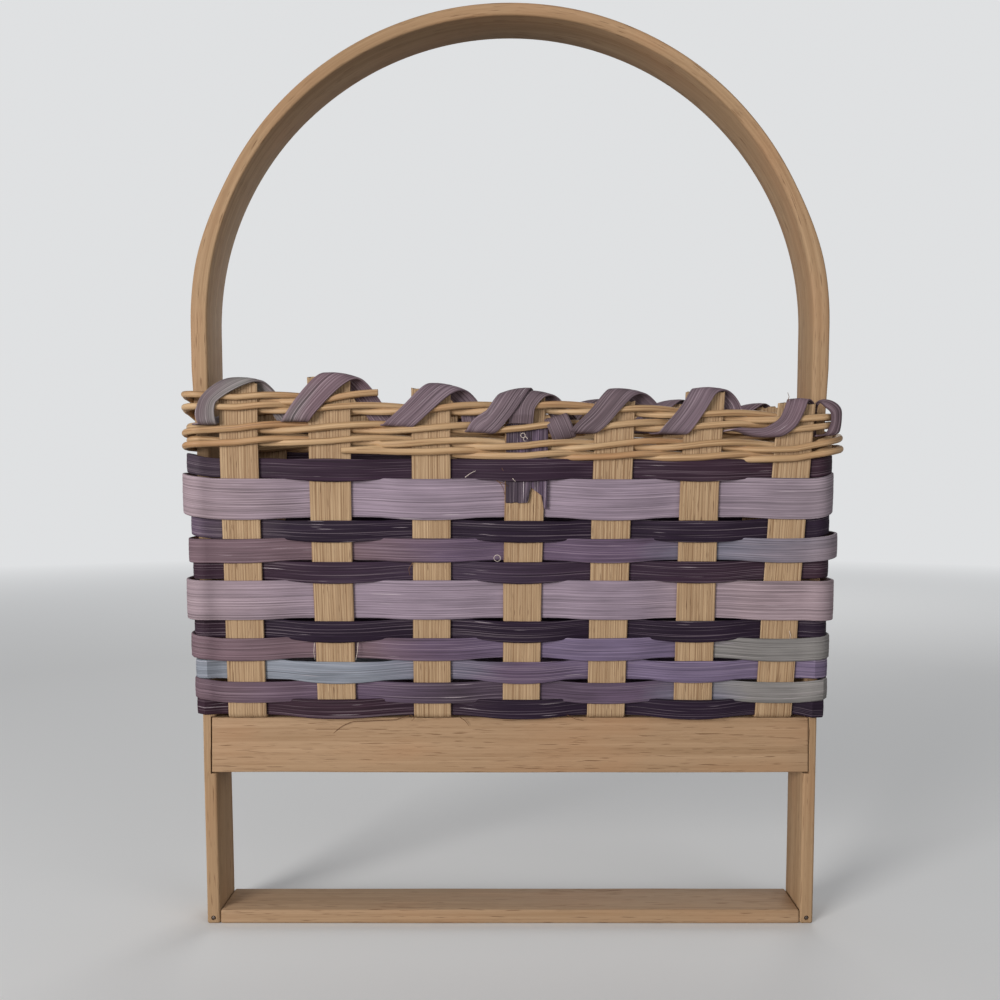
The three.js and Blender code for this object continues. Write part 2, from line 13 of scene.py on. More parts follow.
import bpy
import numpy as np
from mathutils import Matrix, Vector


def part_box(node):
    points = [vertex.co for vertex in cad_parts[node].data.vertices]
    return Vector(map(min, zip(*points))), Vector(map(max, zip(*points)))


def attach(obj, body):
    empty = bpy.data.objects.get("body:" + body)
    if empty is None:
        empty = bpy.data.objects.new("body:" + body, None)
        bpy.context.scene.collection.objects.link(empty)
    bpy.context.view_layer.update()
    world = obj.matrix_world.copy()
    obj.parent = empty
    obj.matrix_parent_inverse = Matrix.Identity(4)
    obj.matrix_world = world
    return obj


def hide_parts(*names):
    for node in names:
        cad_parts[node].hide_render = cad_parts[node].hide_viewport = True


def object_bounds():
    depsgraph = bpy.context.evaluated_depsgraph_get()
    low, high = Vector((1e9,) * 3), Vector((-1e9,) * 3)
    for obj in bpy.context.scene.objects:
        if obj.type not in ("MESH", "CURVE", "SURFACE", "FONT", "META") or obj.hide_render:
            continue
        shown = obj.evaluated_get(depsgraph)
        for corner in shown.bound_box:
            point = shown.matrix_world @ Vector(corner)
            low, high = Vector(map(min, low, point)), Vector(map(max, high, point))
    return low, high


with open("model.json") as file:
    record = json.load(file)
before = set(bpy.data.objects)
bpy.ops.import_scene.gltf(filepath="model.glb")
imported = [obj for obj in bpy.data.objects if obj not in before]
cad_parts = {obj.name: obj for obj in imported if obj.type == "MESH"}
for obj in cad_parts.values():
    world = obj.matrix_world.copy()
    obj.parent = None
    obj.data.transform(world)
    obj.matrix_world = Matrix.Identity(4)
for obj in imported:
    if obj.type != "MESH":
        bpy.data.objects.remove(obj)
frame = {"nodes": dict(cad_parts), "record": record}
cad_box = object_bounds()
bpy.ops.object.select_all(action="DESELECT")
mm = 0.001
print("nodes:", len(frame["nodes"]), "box in mm:", [[round(c / mm, 1) for c in corner] for corner in cad_box])

# %% [markdown]
# ## The camera
#
# The basket is seen straight on and level, from close by, so that the legs show their inner faces. The
# distance and the focal length come from how the near and far edges of the legs and of the foot lie in the
# picture.

# %% The camera
picture_width = 1000
focal_pixels = 997
sight_pixel_x = 510
sight_pixel_y = 490
eye = Vector((0, -411 * mm, 174 * mm))

camera_data = bpy.data.cameras.new("camera")
camera_data.lens = camera_data.sensor_width * focal_pixels / picture_width
camera_data.shift_x = 0.5 - sight_pixel_x / picture_width
camera_data.shift_y = sight_pixel_y / picture_width - 0.5
camera_data.clip_start = 10 * mm
camera = bpy.data.objects.new("camera", camera_data)
camera.location = eye
camera.rotation_euler = (math.pi / 2, 0, 0)
bpy.context.scene.collection.objects.link(camera)
bpy.context.scene.camera = camera
bpy.context.scene.view_settings.view_transform = "Standard"
print("lens in mm:", round(camera_data.lens, 2))

# %% [markdown]
# ## Shader maths as expressions
#
# A node tree is easier to read as a formula. `Number` wraps a socket, and adding or multiplying it adds the
# Math node. `Finish` holds one material and makes every other node by one method: its settings are set
# first, then its sockets get values or links.

# %% Numbers and finishes
class Number:
    """A socket that can be used in a sum."""

    def __init__(self, finish, socket):
        self.finish = finish
        self.socket = socket

    def sum(self, operation, first, second=0.0, clamp=False):
        settings = {"operation": operation, "use_clamp": clamp}
        return self.finish.node("ShaderNodeMath", settings, {0: first, 1: second})

    def __add__(self, other):
        return self.sum("ADD", self, other)

    def __mul__(self, other):
        return self.sum("MULTIPLY", self, other)

    def __sub__(self, other):
        return self.sum("SUBTRACT", self, other)

    def __rsub__(self, other):
        return self.sum("SUBTRACT", other, self)

    __radd__ = __add__
    __rmul__ = __mul__

    def wave(self):
        """The sine of an angle, from -1 to 1."""
        return self.sum("SINE", self)

    def above(self, low, high):
        """0 below low, 1 above high, and a slope between."""
        slope = 1 / (high - low)
        return self.sum("ADD", self * slope, -low * slope, clamp=True)

    def below(self, low, high):
        return 1 - self.above(low, high)


class Finish:
    """One procedural material."""

    def __init__(self, name, roughness, specular=0.5, metallic=0.0):
        self.material = bpy.data.materials.new(name)
        self.material.use_nodes = True
        self.tree = self.material.node_tree
        self.shader = self.tree.nodes["Principled BSDF"]
        constants = {"Roughness": roughness, "Specular IOR Level": specular, "Metallic": metallic}
        for socket, value in constants.items():
            self.shader.inputs[socket].default_value = value

    def node(self, kind, settings=None, sockets=None, output=0):
        made = self.tree.nodes.new(kind)
        for name, value in (settings or {}).items():
            if name == "stops":
                ramp = made.color_ramp.elements
                for position, colour in value[1:-1]:
                    ramp.new(position).color = (*colour, 1)
                ramp[0].position, ramp[0].color = value[0][0], (*value[0][1], 1)
                ramp[-1].position, ramp[-1].color = value[-1][0], (*value[-1][1], 1)
            else:
                setattr(made, name, value)
        for name, value in (sockets or {}).items():
            if isinstance(value, Number):
                self.tree.links.new(value.socket, made.inputs[name])
            else:
                made.inputs[name].default_value = value
        return Number(self, made.outputs[output])

    def place(self):
        """Where a point lies in the piece as it is drawn, in metres."""
        return self.node("ShaderNodeTexCoord", output="Object")

    def lie(self):
        """Where a point lies in its strip as if it were straight: along, across and through it, in metres."""
        return self.node("ShaderNodeAttribute", {"attribute_name": "lie"}, output="Vector")

    def axis(self, vector, index):
        return self.node("ShaderNodeSeparateXYZ", {}, {0: vector}, output=index)

    def grain(self, vector, per_metre, detail=2.0, roughness=0.5, twist=0.0):
        """Noise from 0 to 1 that changes so many times per metre each way."""
        scaled = self.node("ShaderNodeVectorMath", {"operation": "MULTIPLY"}, {0: vector, 1: per_metre})
        amounts = {
            "Vector": scaled, "Scale": 1.0, "Detail": detail, "Roughness": roughness, "Distortion": twist}
        return self.node("ShaderNodeTexNoise", {"normalize": True}, amounts)

    def mix(self, share, first, second, way="MIX"):
        """Two colours blended, where each is three numbers or a socket."""
        colours = [c if isinstance(c, Number) else (*c, 1) for c in (first, second)]
        sockets = {0: share, 6: colours[0], 7: colours[1]}
        settings = {"data_type": "RGBA", "blend_type": way, "clamp_factor": True}
        return self.node("ShaderNodeMix", settings, sockets, output=2)

    def shade(self, colour, amount):
        """A colour made lighter or darker by a number round 1."""
        grey = self.node("ShaderNodeCombineXYZ", {}, {0: amount, 1: amount, 2: amount})
        return self.mix(1.0, colour, grey, "MULTIPLY")

    def wear(self, colour, roughness=None, height=None, depth=0.0):
        """Links what changes over the surface to the shader."""
        self.tree.links.new(colour.socket, self.shader.inputs["Base Color"])
        if roughness is not None:
            self.tree.links.new(roughness.socket, self.shader.inputs["Roughness"])
        if height is not None:
            bump = self.node("ShaderNodeBump", {}, {"Strength": 1.0, "Distance": depth, "Height": height})
            self.tree.links.new(bump.socket, self.shader.inputs["Normal"])
        return self.material


# %% [markdown]
# ## The oak of the hoop, the rails and the foot
#
# The strip is cut along the grain, sanded and left bare. Its wide faces show long soft bands and short dark
# pores, and its narrow edges show the yearly layers as fine lines, which follow the bend. So the pattern is
# not laid in space but in the strip's own straightened measures, which every piece keeps in an attribute
# named `lie`.

# %% Oak
def oak(name, light, dark, pore):
    finish = Finish(name, 0.62, specular=0.15)
    lie = finish.lie()
    bands = finish.grain(lie, (5, 190, 420), detail=3, roughness=0.55, twist=0.6)
    layers = finish.grain(lie, (16, 700, 1500), detail=2, roughness=0.6)
    pores = finish.grain(lie, (120, 1900, 2300), detail=1, roughness=0.4)
    blush = finish.grain(lie, (22, 60, 60), detail=2)
    pore_mask = pores.above(0.6, 0.72) * layers.above(0.38, 0.62)
    tone = bands.above(0.3, 0.7) * 0.6 + layers.above(0.3, 0.7) * 0.4
    colour = finish.mix(tone, dark, light)
    colour = finish.mix(blush.above(0.45, 0.8) * 0.35, colour, (0.4, 0.2, 0.1))
    colour = finish.mix(pore_mask * 0.75, colour, pore)
    rough = 0.5 + bands * 0.14 + pore_mask * 0.15
    height = layers * 0.5 - pore_mask
    return finish.wear(colour, rough, height, 0.12 * mm)


bent_oak = oak("bent_oak", (0.45, 0.3, 0.178), (0.275, 0.166, 0.088), (0.14, 0.068, 0.032))
board_oak = oak("board_oak", (0.45, 0.3, 0.185), (0.3, 0.186, 0.104), (0.16, 0.08, 0.04))
print("oak finishes made")

# %% [markdown]
# ## Natural flat reed
#
# Flat reed is sliced from the core of rattan, so each strip is a bundle of straight tubes. They show as
# sharp dark and pale lines a little over a millimetre apart that run along the strip. A sine wave across
# the strip gives the even spacing, a slow noise lets the lines wander, and another noise makes each one
# fade and come back.

# %% Flat reed, natural and dyed
line_pitch = 1.22 * mm


def reed_lines(finish, lie, pitch=line_pitch):
    """The wave of the tubes across the strip, how strong it is there, finer fibres, and soft patches."""
    wander = finish.grain(lie, (11, 120, 0), detail=1)
    uneven_pitch = finish.grain(lie, (7, 520, 0), detail=1)
    tubes = (finish.axis(lie, 1) * (2 * math.pi / pitch) + wander * 12 + uneven_pitch * 9).wave()
    strength = finish.grain(lie, (24, 760, 0), detail=1.5)
    fibres = finish.grain(lie, (50, 3600, 900), detail=2, roughness=0.6)
    patches = finish.grain(lie, (45, 160, 100), detail=2)
    return tubes, strength, fibres, patches


def natural_reed():
    finish = Finish("natural_reed", 0.72, specular=0.25)
    lie = finish.lie()
    tubes, strength, fibres, patches = reed_lines(finish, lie, 1.1 * mm)
    pores = finish.grain(lie, (150, 1500, 0), detail=0.5)
    base = finish.mix(patches.above(0.3, 0.7), (0.36, 0.235, 0.135), (0.43, 0.29, 0.17))
    colour = finish.mix(tubes.above(0.3, 0.95) * strength.above(0.4, 0.6) * 0.4, base, (0.54, 0.385, 0.24))
    furrows = tubes.below(-0.95, -0.5) * strength.below(0.42, 0.6) * 0.6
    colour = finish.mix(furrows, colour, (0.17, 0.092, 0.045))
    threads = finish.grain(lie, (12, 2300, 0), detail=1.5, roughness=0.6)
    colour = finish.mix(threads.above(0.54, 0.64) * 0.6, colour, (0.54, 0.385, 0.24))
    colour = finish.mix(threads.below(0.35, 0.44) * 0.65, colour, (0.19, 0.1, 0.045))
    colour = finish.mix(fibres.below(0.34, 0.46) * 0.3, colour, (0.2, 0.112, 0.055))
    colour = finish.mix(pores.above(0.68, 0.76) * 0.6, colour, (0.12, 0.06, 0.03))
    return finish.wear(colour, 0.62 + fibres * 0.2, tubes * strength * 0.6 + fibres, 0.08 * mm)


stake_reed = natural_reed()

# %% [markdown]
# ## Dyed reed
#
# Each dyed strip took its colour unevenly: one reed goes from brownish mauve at one end to blue grey at the
# other. A ramp along the basket's length gives that drift, with names of dyes instead of loose numbers. The
# tubes took more or less dye than what lies between them. The pale lines along them are partly their own
# lighter colour and partly painted highlight, and the short white specks are painted highlights.

# %% Dyes
dyes = {
    "dark purple": (0.018, 0.009, 0.022),
    "purple": (0.031, 0.015, 0.03),
    "dusk": (0.044, 0.028, 0.05),
    "lash mauve": (0.16, 0.115, 0.14),
    "lash slate": (0.13, 0.093, 0.108),
    "plum": (0.036, 0.016, 0.027),
    "slate": (0.058, 0.041, 0.058),
    "mauve": (0.115, 0.078, 0.125),
    "brown mauve": (0.155, 0.1, 0.12),
    "lavender": (0.255, 0.2, 0.252),
    "pink grey": (0.29, 0.22, 0.245),
    "stone lavender": (0.235, 0.19, 0.22),
    "violet": (0.15, 0.115, 0.19),
    "blue grey": (0.15, 0.148, 0.195),
    "pale blue": (0.225, 0.245, 0.29),
    "grey green": (0.2, 0.19, 0.185),
}
drift_half = cad_box[1].x


def dyed_reed(name, drift, contrast=1.0, pale_and_highlight=0.6):
    """A reed whose dye changes along X: drift lists a place in millimetres and a dye's name."""
    finish = Finish(name, 0.62, specular=0.18)
    lie = finish.lie()
    tubes, strength, fibres, patches = reed_lines(finish, lie)
    threads = finish.grain(lie, (10, 2100, 0), detail=1.5, roughness=0.6)
    x = finish.axis(finish.place(), 0)
    share = x * (0.5 / drift_half) + 0.5 + (patches - 0.5) * 0.12
    stops = [(0.5 + place * mm / (2 * drift_half), dyes[dye]) for place, dye in drift]
    dye = finish.node("ShaderNodeValToRGB", {"stops": stops}, {"Fac": share})
    tone = tubes * (strength.above(0.3, 0.7) * 0.1 * contrast) + (threads - 0.5) * (1.35 * contrast)
    colour = finish.shade(dye, 1 + tone + (fibres - 0.5) * 0.9 + (patches - 0.5) * 0.6)
    # Pale lines on the tubes and threads: partly the reed's own lighter colour, partly painted highlight
    pale = finish.mix(0.5, dye, (0.66, 0.55, 0.6))
    colour = finish.mix(tubes.above(0.86, 1.0) * strength.above(0.46, 0.6) * (0.5 * pale_and_highlight), colour, pale)
    colour = finish.mix(threads.above(0.59, 0.67) * (0.45 * pale_and_highlight), colour, pale)
    deep = finish.shade(dye, fibres * 0.8)
    colour = finish.mix(threads.below(0.28, 0.38) * (0.55 * contrast), colour, deep)
    # Short white specks on the tubes: painted highlights
    short = finish.grain(lie, (60, 2600, 0), detail=0.5)
    painted_highlight_specks = short.above(0.73, 0.78) * tubes.above(0.0, 0.5)
    colour = finish.mix(painted_highlight_specks * pale_and_highlight, colour, (0.6, 0.52, 0.56))
    return finish.wear(colour, 0.58 + fibres * 0.2, tubes * strength * 0.3 + fibres, 0.08 * mm)


# %% [markdown]
# ## Round reed and wire
#
# The twining is thin round reed: smooth, honey coloured, with a faint shine and fine lines along it. Where
# it was wet and bent it is redder. The pins are plain wire nails, dull and a little rusty.

# %% Round reed, lashing and steel
def round_reed():
    finish = Finish("round_reed", 0.5, specular=0.28)
    lie = finish.lie()
    lines = finish.grain(lie, (22, 1500, 1500), detail=2, roughness=0.6)
    patches = finish.grain(lie, (16, 120, 120), detail=2)
    colour = finish.mix(lines.above(0.35, 0.62), (0.35, 0.207, 0.102), (0.53, 0.355, 0.2))
    colour = finish.mix(patches.above(0.5, 0.66) * 0.65, colour, (0.4, 0.21, 0.1))
    colour = finish.mix(patches.below(0.34, 0.46) * 0.4, colour, (0.6, 0.43, 0.26))
    colour = finish.mix(lines.below(0.3, 0.4) * 0.6, colour, (0.17, 0.085, 0.04))
    return finish.wear(colour, 0.42 + lines * 0.2, lines, 0.08 * mm)


def wire():
    finish = Finish("wire", 0.45, metallic=0.85)
    spots = finish.grain(finish.place(), (2500, 2500, 2500))
    colour = finish.mix(spots.above(0.45, 0.65), (0.16, 0.14, 0.13), (0.12, 0.05, 0.025))
    return finish.wear(colour, 0.4 + spots * 0.3)


twine_reed = round_reed()
pin_wire = wire()
lash_drift = [(-130, "brown mauve"), (-100, "grey green"), (-75, "brown mauve"), (-25, "lash mauve"),
              (10, "lash slate"), (40, "lash slate"), (70, "lash mauve"), (130, "brown mauve")]
lash_reed = dyed_reed("lash_reed", lash_drift, contrast=1.2, pale_and_highlight=0.8)
print("materials:", len(bpy.data.materials))

# %% [markdown]
# ## Seeded unevenness
#
# Nothing here is quite straight or even. `uneven` gives smooth random numbers from -1 to 1 over two
# measures. They come from a table with a seed, so each run gives the same basket.

# %% Unevenness
def uneven(x, y, seed):
    """Smooth random numbers from -1 to 1, which change once per unit of x and of y."""
    size = 64
    table = np.random.default_rng(seed).uniform(-1, 1, (size, size))
    x, y = np.broadcast_arrays(np.asarray(x, float), np.asarray(y, float))
    column, row = np.floor(x).astype(int), np.floor(y).astype(int)
    u, v = x - column, y - row
    u, v = u * u * (3 - 2 * u), v * v * (3 - 2 * v)

    def knot(i, j):
        return table[(column + i) % size, (row + j) % size]

    low = knot(0, 0) * (1 - u) + knot(1, 0) * u
    high = knot(0, 1) * (1 - u) + knot(1, 1) * u
    return low * (1 - v) + high * v


# %% [markdown]
# ## Rolling a grid into a reed
#
# A reed of any section is a flat grid that is rolled into a tube: each row of the grid is one ring round
# the section, and the rings follow the reed's path. The seam is merged and the two ends are filled, which
# leaves one closed skin. The straightened measures go along as the attribute `lie`, which the finishes
# read.

# %% Reeds from grids
def add_lie(piece, values):
    lie = piece.data.attributes.new("lie", "FLOAT_VECTOR", "POINT")
    lie.data.foreach_set("vector", np.asarray(values, np.float32).ravel())


def lie_in_strip(along, across, through):
    """The straightened measures of a strip's points."""
    return np.stack([np.broadcast_to(along, across.shape), across, through], axis=2)


def roll_reed(name, rings, lies):
    """A closed skin through rings of points, which is an array of steps by sides by three."""
    steps, sides = rings.shape[:2]
    bpy.ops.mesh.primitive_grid_add(x_subdivisions=sides, y_subdivisions=steps - 1, size=1)
    piece = bpy.context.object
    piece.name = name
    piece.data.name = name
    seam = np.concatenate([rings, rings[:, :1]], axis=1)
    piece.data.vertices.foreach_set("co", seam.astype(np.float32).ravel())
    add_lie(piece, np.concatenate([lies, lies[:, :1]], axis=1).reshape(-1, 3))
    bpy.ops.object.mode_set(mode="EDIT")
    bpy.ops.mesh.select_all(action="SELECT")
    bpy.ops.mesh.remove_doubles(threshold=0.001 * mm)
    bpy.ops.mesh.fill_holes(sides=0)
    bpy.ops.mesh.select_all(action="SELECT")
    bpy.ops.mesh.normals_make_consistent(inside=False)
    bpy.ops.object.mode_set(mode="OBJECT")
    piece.location = (0, 0, 0)
    bpy.ops.object.shade_smooth_by_angle(angle=math.radians(42))
    piece.select_set(False)
    return piece


def dress(piece, finish, slot, *nodes):
    """Gives a piece its finish and its place in the frame."""
    piece.data.materials.clear()
    piece.data.materials.append(finish)
    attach(piece, "root")
    if nodes:
        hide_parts(*nodes)
    return piece


def flat_section(width, thickness, spacing=0.45 * mm):
    """The outline of a flat reed: two flat faces and two round edges, as pairs of across and through."""
    round_off = 0.42 * thickness
    across = np.linspace(-width / 2 + round_off, width / 2 - round_off, max(int(width / spacing), 4))
    angles = np.radians([68, 45, 22, 0, -22, -45, -68])
    edge_across = width / 2 - round_off + round_off * np.cos(angles)
    edge_through = (thickness / 2 - round_off) * np.sign(angles) + round_off * np.sin(angles)
    top = [(a, thickness / 2) for a in across]
    right = list(zip(edge_across, edge_through))
    return np.array(top + right + [(-a, -t) for a, t in top + right])


def fibre_relief(along, across, through, seed, depth=0.05 * mm):
    """How far a flat reed's face stands out or in along the lines of its tubes."""
    face = np.clip(np.abs(through) / (0.4 * mm), 0, 1)
    ridges = uneven(along / (45 * mm), across / (0.62 * mm) + 32, seed)
    return np.sign(through) * face * depth * ridges


# %% [markdown]
# ## The hoop handle
#
# The real one is a straight strip that is steamed, bent round a form and dried there. Here a plane with the
# strip's section is put at the crown and spun a quarter turn and a little more down one side, then extruded
# into the leg. A bisect cuts the foot level, and a mirror makes the other half, so the two legs match as
# they do on a form.

# %% Where the hoop runs
hoop_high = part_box("hoop_handle")[1]
half_depth = hoop_high.y
hoop_height = hoop_high.z
arch_radius = hoop_high.x
arch_centre = hoop_height - arch_radius
hoop_thickness = 5.2 * mm
foot_width = 243 * mm
foot_half = foot_width / 2
foot_reach = math.hypot(foot_half, arch_centre)
leg_slant = math.acos(arch_radius / foot_reach) - math.atan2(arch_centre, foot_half)
strip_middle = arch_radius - hoop_thickness / 2


def leg_outside(z):
    return foot_half - z * math.tan(leg_slant)


def leg_middle(z):
    return leg_outside(z) - hoop_thickness / (2 * math.cos(leg_slant))


print("leg leans by", round(math.degrees(leg_slant), 2), "degrees;",
      "arch radius in mm:", round(arch_radius / mm, 1))

# %% The hoop
def select_only(piece):
    bpy.ops.object.select_all(action="DESELECT")
    piece.select_set(True)
    bpy.context.view_layer.objects.active = piece


def select_faces(piece, wanted):
    """Selects the faces whose centre and normal satisfy a test, in edit mode."""
    bpy.ops.mesh.select_all(action="DESELECT")
    bpy.ops.object.mode_set(mode="OBJECT")
    for face in piece.data.polygons:
        face.select = wanted(face.center, face.normal)
    bpy.ops.object.mode_set(mode="EDIT")


def apply_modifier(piece, kind, **settings):
    select_only(piece)
    modifier = piece.modifiers.new(kind.lower(), kind)
    for name, value in settings.items():
        setattr(modifier, name, value)
    bpy.ops.object.modifier_apply(modifier=modifier.name)


def round_edges(piece, width, segments):
    sharp = math.radians(50)
    apply_modifier(piece, "BEVEL", width=width, segments=segments, limit_method="ANGLE", angle_limit=sharp)


def settle_place():
    """Moves the place, turn and scale of the active object into its mesh."""
    bpy.ops.object.transform_apply(location=True, rotation=True, scale=True)


def subtract(piece, cutter):
    apply_modifier(piece, "BOOLEAN", operation="DIFFERENCE", object=cutter, solver="EXACT")
    bpy.data.objects.remove(cutter)


def cut_away(piece, low, high):
    """Cuts a box out of a piece."""
    middle = (Vector(low) + Vector(high)) / 2
    bpy.ops.mesh.primitive_cube_add(size=1, location=middle, scale=Vector(high) - Vector(low))
    cutter = bpy.context.object
    settle_place()
    subtract(piece, cutter)


def bend_hoop():
    bpy.ops.mesh.primitive_plane_add(size=1, location=(0, 0, arch_centre + strip_middle))
    hoop = bpy.context.object
    hoop.name = "hoop"
    hoop.scale = (hoop_thickness, 2 * half_depth, 1)
    hoop.rotation_euler = (0, math.pi / 2, 0)
    settle_place()
    bpy.ops.object.mode_set(mode="EDIT")
    bpy.ops.mesh.select_all(action="SELECT")
    sweep = math.pi / 2 - leg_slant
    bpy.ops.mesh.spin(steps=60, angle=sweep, center=(0, 0, arch_centre), axis=(0, -1, 0))
    leg_steps = 14
    leg_length = foot_reach * math.sin(math.acos(arch_radius / foot_reach)) + 2 * mm
    step = Vector((math.sin(leg_slant), 0, -math.cos(leg_slant))) * leg_length / leg_steps
    for _ in range(leg_steps):
        bpy.ops.mesh.extrude_region_move(TRANSFORM_OT_translate={"value": step})
    bpy.ops.mesh.select_all(action="SELECT")
    bpy.ops.mesh.bisect(plane_co=(0, 0, 0), plane_no=(0, 0, 1), clear_inner=True, use_fill=True)
    select_faces(hoop, lambda centre, normal: abs(centre.x) < 0.01 * mm)
    bpy.ops.mesh.delete(type="ONLY_FACE")
    bpy.ops.object.mode_set(mode="OBJECT")
    apply_modifier(hoop, "MIRROR", use_axis=(True, False, False), use_clip=True, merge_threshold=0.01 * mm)
    bpy.ops.object.mode_set(mode="EDIT")
    bpy.ops.mesh.select_all(action="SELECT")
    bpy.ops.mesh.normals_make_consistent(inside=False)
    bpy.ops.object.mode_set(mode="OBJECT")
    round_edges(hoop, 0.9 * mm, 3)
    return hoop


def ease(share):
    """From 0 to 1 without a corner at either end."""
    share = min(max(share, 0), 1)
    return share * share * (3 - 2 * share)


swelling = 1.5 * mm
swell_low, swell_rise = 195 * mm, 22 * mm
swell_high, swell_fall = 300 * mm, 38 * mm


def swell(hoop):
    """The strip is thicker on its outer side where the arch begins, over the rim."""
    for vertex in hoop.data.vertices:
        x, _, z = vertex.co
        if z > arch_centre:
            inside = math.hypot(x, z - arch_centre) - arch_radius + hoop_thickness
        else:
            inside = abs(x) - leg_outside(z) + hoop_thickness
        there = ease((z - swell_low) / swell_rise) * ease((swell_high - z) / swell_fall)
        vertex.co.x += math.copysign(swelling * there * min(max(inside / hoop_thickness, 0), 1), x)


hoop = bend_hoop()
swell(hoop)
print("hoop faces:", len(hoop.data.polygons))

# %% [markdown]
# The rails are let into the legs by 2 mm and lie flush with their front and back edges, so each leg has a
# notch that the rail's end shows as a dark line. A hole for the wire pin goes in from the front at each
# foot.

# %% Notches, holes and the hoop's finish
rail_low, rail_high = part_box("front_rail")
back_low, back_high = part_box("back_rail")
pin_low, pin_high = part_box("right_base_pin")
pin_centre = (pin_low + pin_high) / 2
notch_slack = 0.45 * mm
past_edge = 20 * mm


hole_radius = 0.95 * mm
pin_radius = 0.65 * mm


def pin_cylinder(radius, length, x, y):
    """A round bar from front to back at the pins' height."""
    bpy.ops.mesh.primitive_cylinder_add(
        vertices=24, radius=radius, depth=length, location=(x, y, pin_centre.z), rotation=(math.pi / 2, 0, 0))
    settle_place()
    return bpy.context.object


def pin_hole(piece, x):
    subtract(piece, pin_cylinder(hole_radius, pin_high.y - pin_low.y + 2 * mm, x, pin_centre.y - 1 * mm))


def straighten(point):
    """Where a point of the hoop lies in the straight strip: along it from the crown, across and through."""
    side = 1 if point.x >= 0 else -1
    x, z = abs(point.x), point.z - arch_centre
    angle = math.atan2(x, z)
    sweep = math.pi / 2 - leg_slant
    if angle <= sweep:
        return side * angle * strip_middle, point.y, math.hypot(x, z) - strip_middle
    down = Vector((math.sin(leg_slant), -math.cos(leg_slant)))
    spring = Vector((math.sin(sweep), math.cos(sweep))) * strip_middle
    offset = Vector((x, z)) - spring
    past = offset.dot(down)
    return side * (sweep * strip_middle + past), point.y, offset.dot(Vector((-down.y, down.x)))


for side in (-1, 1):
    for low, high in ((rail_low, rail_high), (back_low, back_high)):
        outer = side * (high.x + notch_slack)
        open_y = -past_edge if high.y < 0 else past_edge
        floor_y = high.y + notch_slack if high.y < 0 else low.y - notch_slack
        cut_away(
            hoop,
            (min(0, outer), min(open_y, floor_y), low.z - notch_slack),
            (max(0, outer), max(open_y, floor_y), high.z + notch_slack))
    pin_hole(hoop, side * pin_centre.x)

measures = np.array([straighten(v.co) for v in hoop.data.vertices])
add_lie(hoop, measures)
wander = 0.16 * mm * uneven(measures[:, 0] / (38 * mm), measures[:, 1] / (30 * mm) + 8, 5)
for vertex, shift in zip(hoop.data.vertices, wander):
    radial = Vector((vertex.co.x, 0, max(vertex.co.z - arch_centre, 0))).normalized()
    vertex.co += radial * float(shift)
select_only(hoop)
bpy.ops.object.shade_smooth_by_angle(angle=math.radians(35))
dress(hoop, bent_oak, "handle_wood", "hoop_handle")
print("hoop length along the strip, mm:", round(np.ptp(measures[:, 0]) / mm))

# %% [markdown]
# ## The foot, the rails and the pins
#
# Three plain boards. Each starts as a cube at its own size, gets its long edges eased with a bevel, is
# divided along its length and is moved a tenth of a millimetre here and there, as a sanded board is.

# %% Boards
def board(name, low, high, edge, seed):
    bpy.ops.mesh.primitive_cube_add(size=1, location=(low + high) / 2, scale=high - low)
    piece = bpy.context.object
    piece.name = name
    settle_place()
    bpy.ops.object.mode_set(mode="EDIT")
    bpy.ops.mesh.select_all(action="SELECT")
    bpy.ops.mesh.bevel(offset=edge, segments=3, affect="EDGES")
    for cut in np.linspace(low.x, high.x, 26)[1:-1]:
        bpy.ops.mesh.select_all(action="SELECT")
        bpy.ops.mesh.bisect(plane_co=(cut, 0, 0), plane_no=(1, 0, 0))
    bpy.ops.object.mode_set(mode="OBJECT")
    middle = (low + high) / 2
    points = np.array([v.co for v in piece.data.vertices])
    add_lie(piece, points - np.array([seed, middle.y, middle.z]))
    sway = 0.1 * mm * uneven(points[:, 0] / (30 * mm) + 9, points[:, 2] / (15 * mm), seed)
    for vertex, shift in zip(piece.data.vertices, sway):
        outward = 1 if vertex.co.z > middle.z else -1
        vertex.co.z += outward * float(shift) if low.z > mm else max(float(shift), 0) * (outward > 0)
        vertex.co.y += float(shift) * (1 if vertex.co.y > middle.y else -1)
    bpy.ops.object.shade_smooth_by_angle(angle=math.radians(35))
    piece.select_set(False)
    return piece


foot_low, foot_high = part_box("base_crosspiece")
foot_gap = 0.15 * mm
foot_end = leg_outside(0) - hoop_thickness / math.cos(leg_slant) - foot_gap
foot = board("foot_board", Vector((-foot_end, foot_low.y, foot_low.z)),
             Vector((foot_end, foot_high.y, foot_high.z)), 0.8 * mm, 3)
dress(foot, board_oak, "handle_wood", "base_crosspiece")
front_rail = board("rail_board_front", rail_low, rail_high, 0.4 * mm, 4)
dress(front_rail, board_oak, "rail_wood", "front_rail")
back_rail = board("rail_board_back", back_low, back_high, 0.4 * mm, 6)
dress(back_rail, board_oak, "rail_wood", "back_rail")
for name, side in (("left", -1), ("right", 1)):
    pin = pin_cylinder(pin_radius, pin_high.y - pin_low.y, side * pin_centre.x, pin_centre.y + 0.1 * mm)
    pin.name = "pin_" + name
    round_edges(pin, 0.2 * mm, 2)
    bpy.ops.object.shade_smooth_by_angle(angle=math.radians(40))
    pin.select_set(False)
    dress(pin, pin_wire, "pin_steel", name + "_base_pin")
print("boards and pins made")

# %% [markdown]
# ## The stakes
#
# Seven flat reeds run down the front, over both rails and up the back. They lean outwards from the rails to
# the rim. Each was placed by eye, so a stake leans a little to one side, and its two ends were cut by hand
# at slightly different heights. The fibres break where the reed folds over the rails.

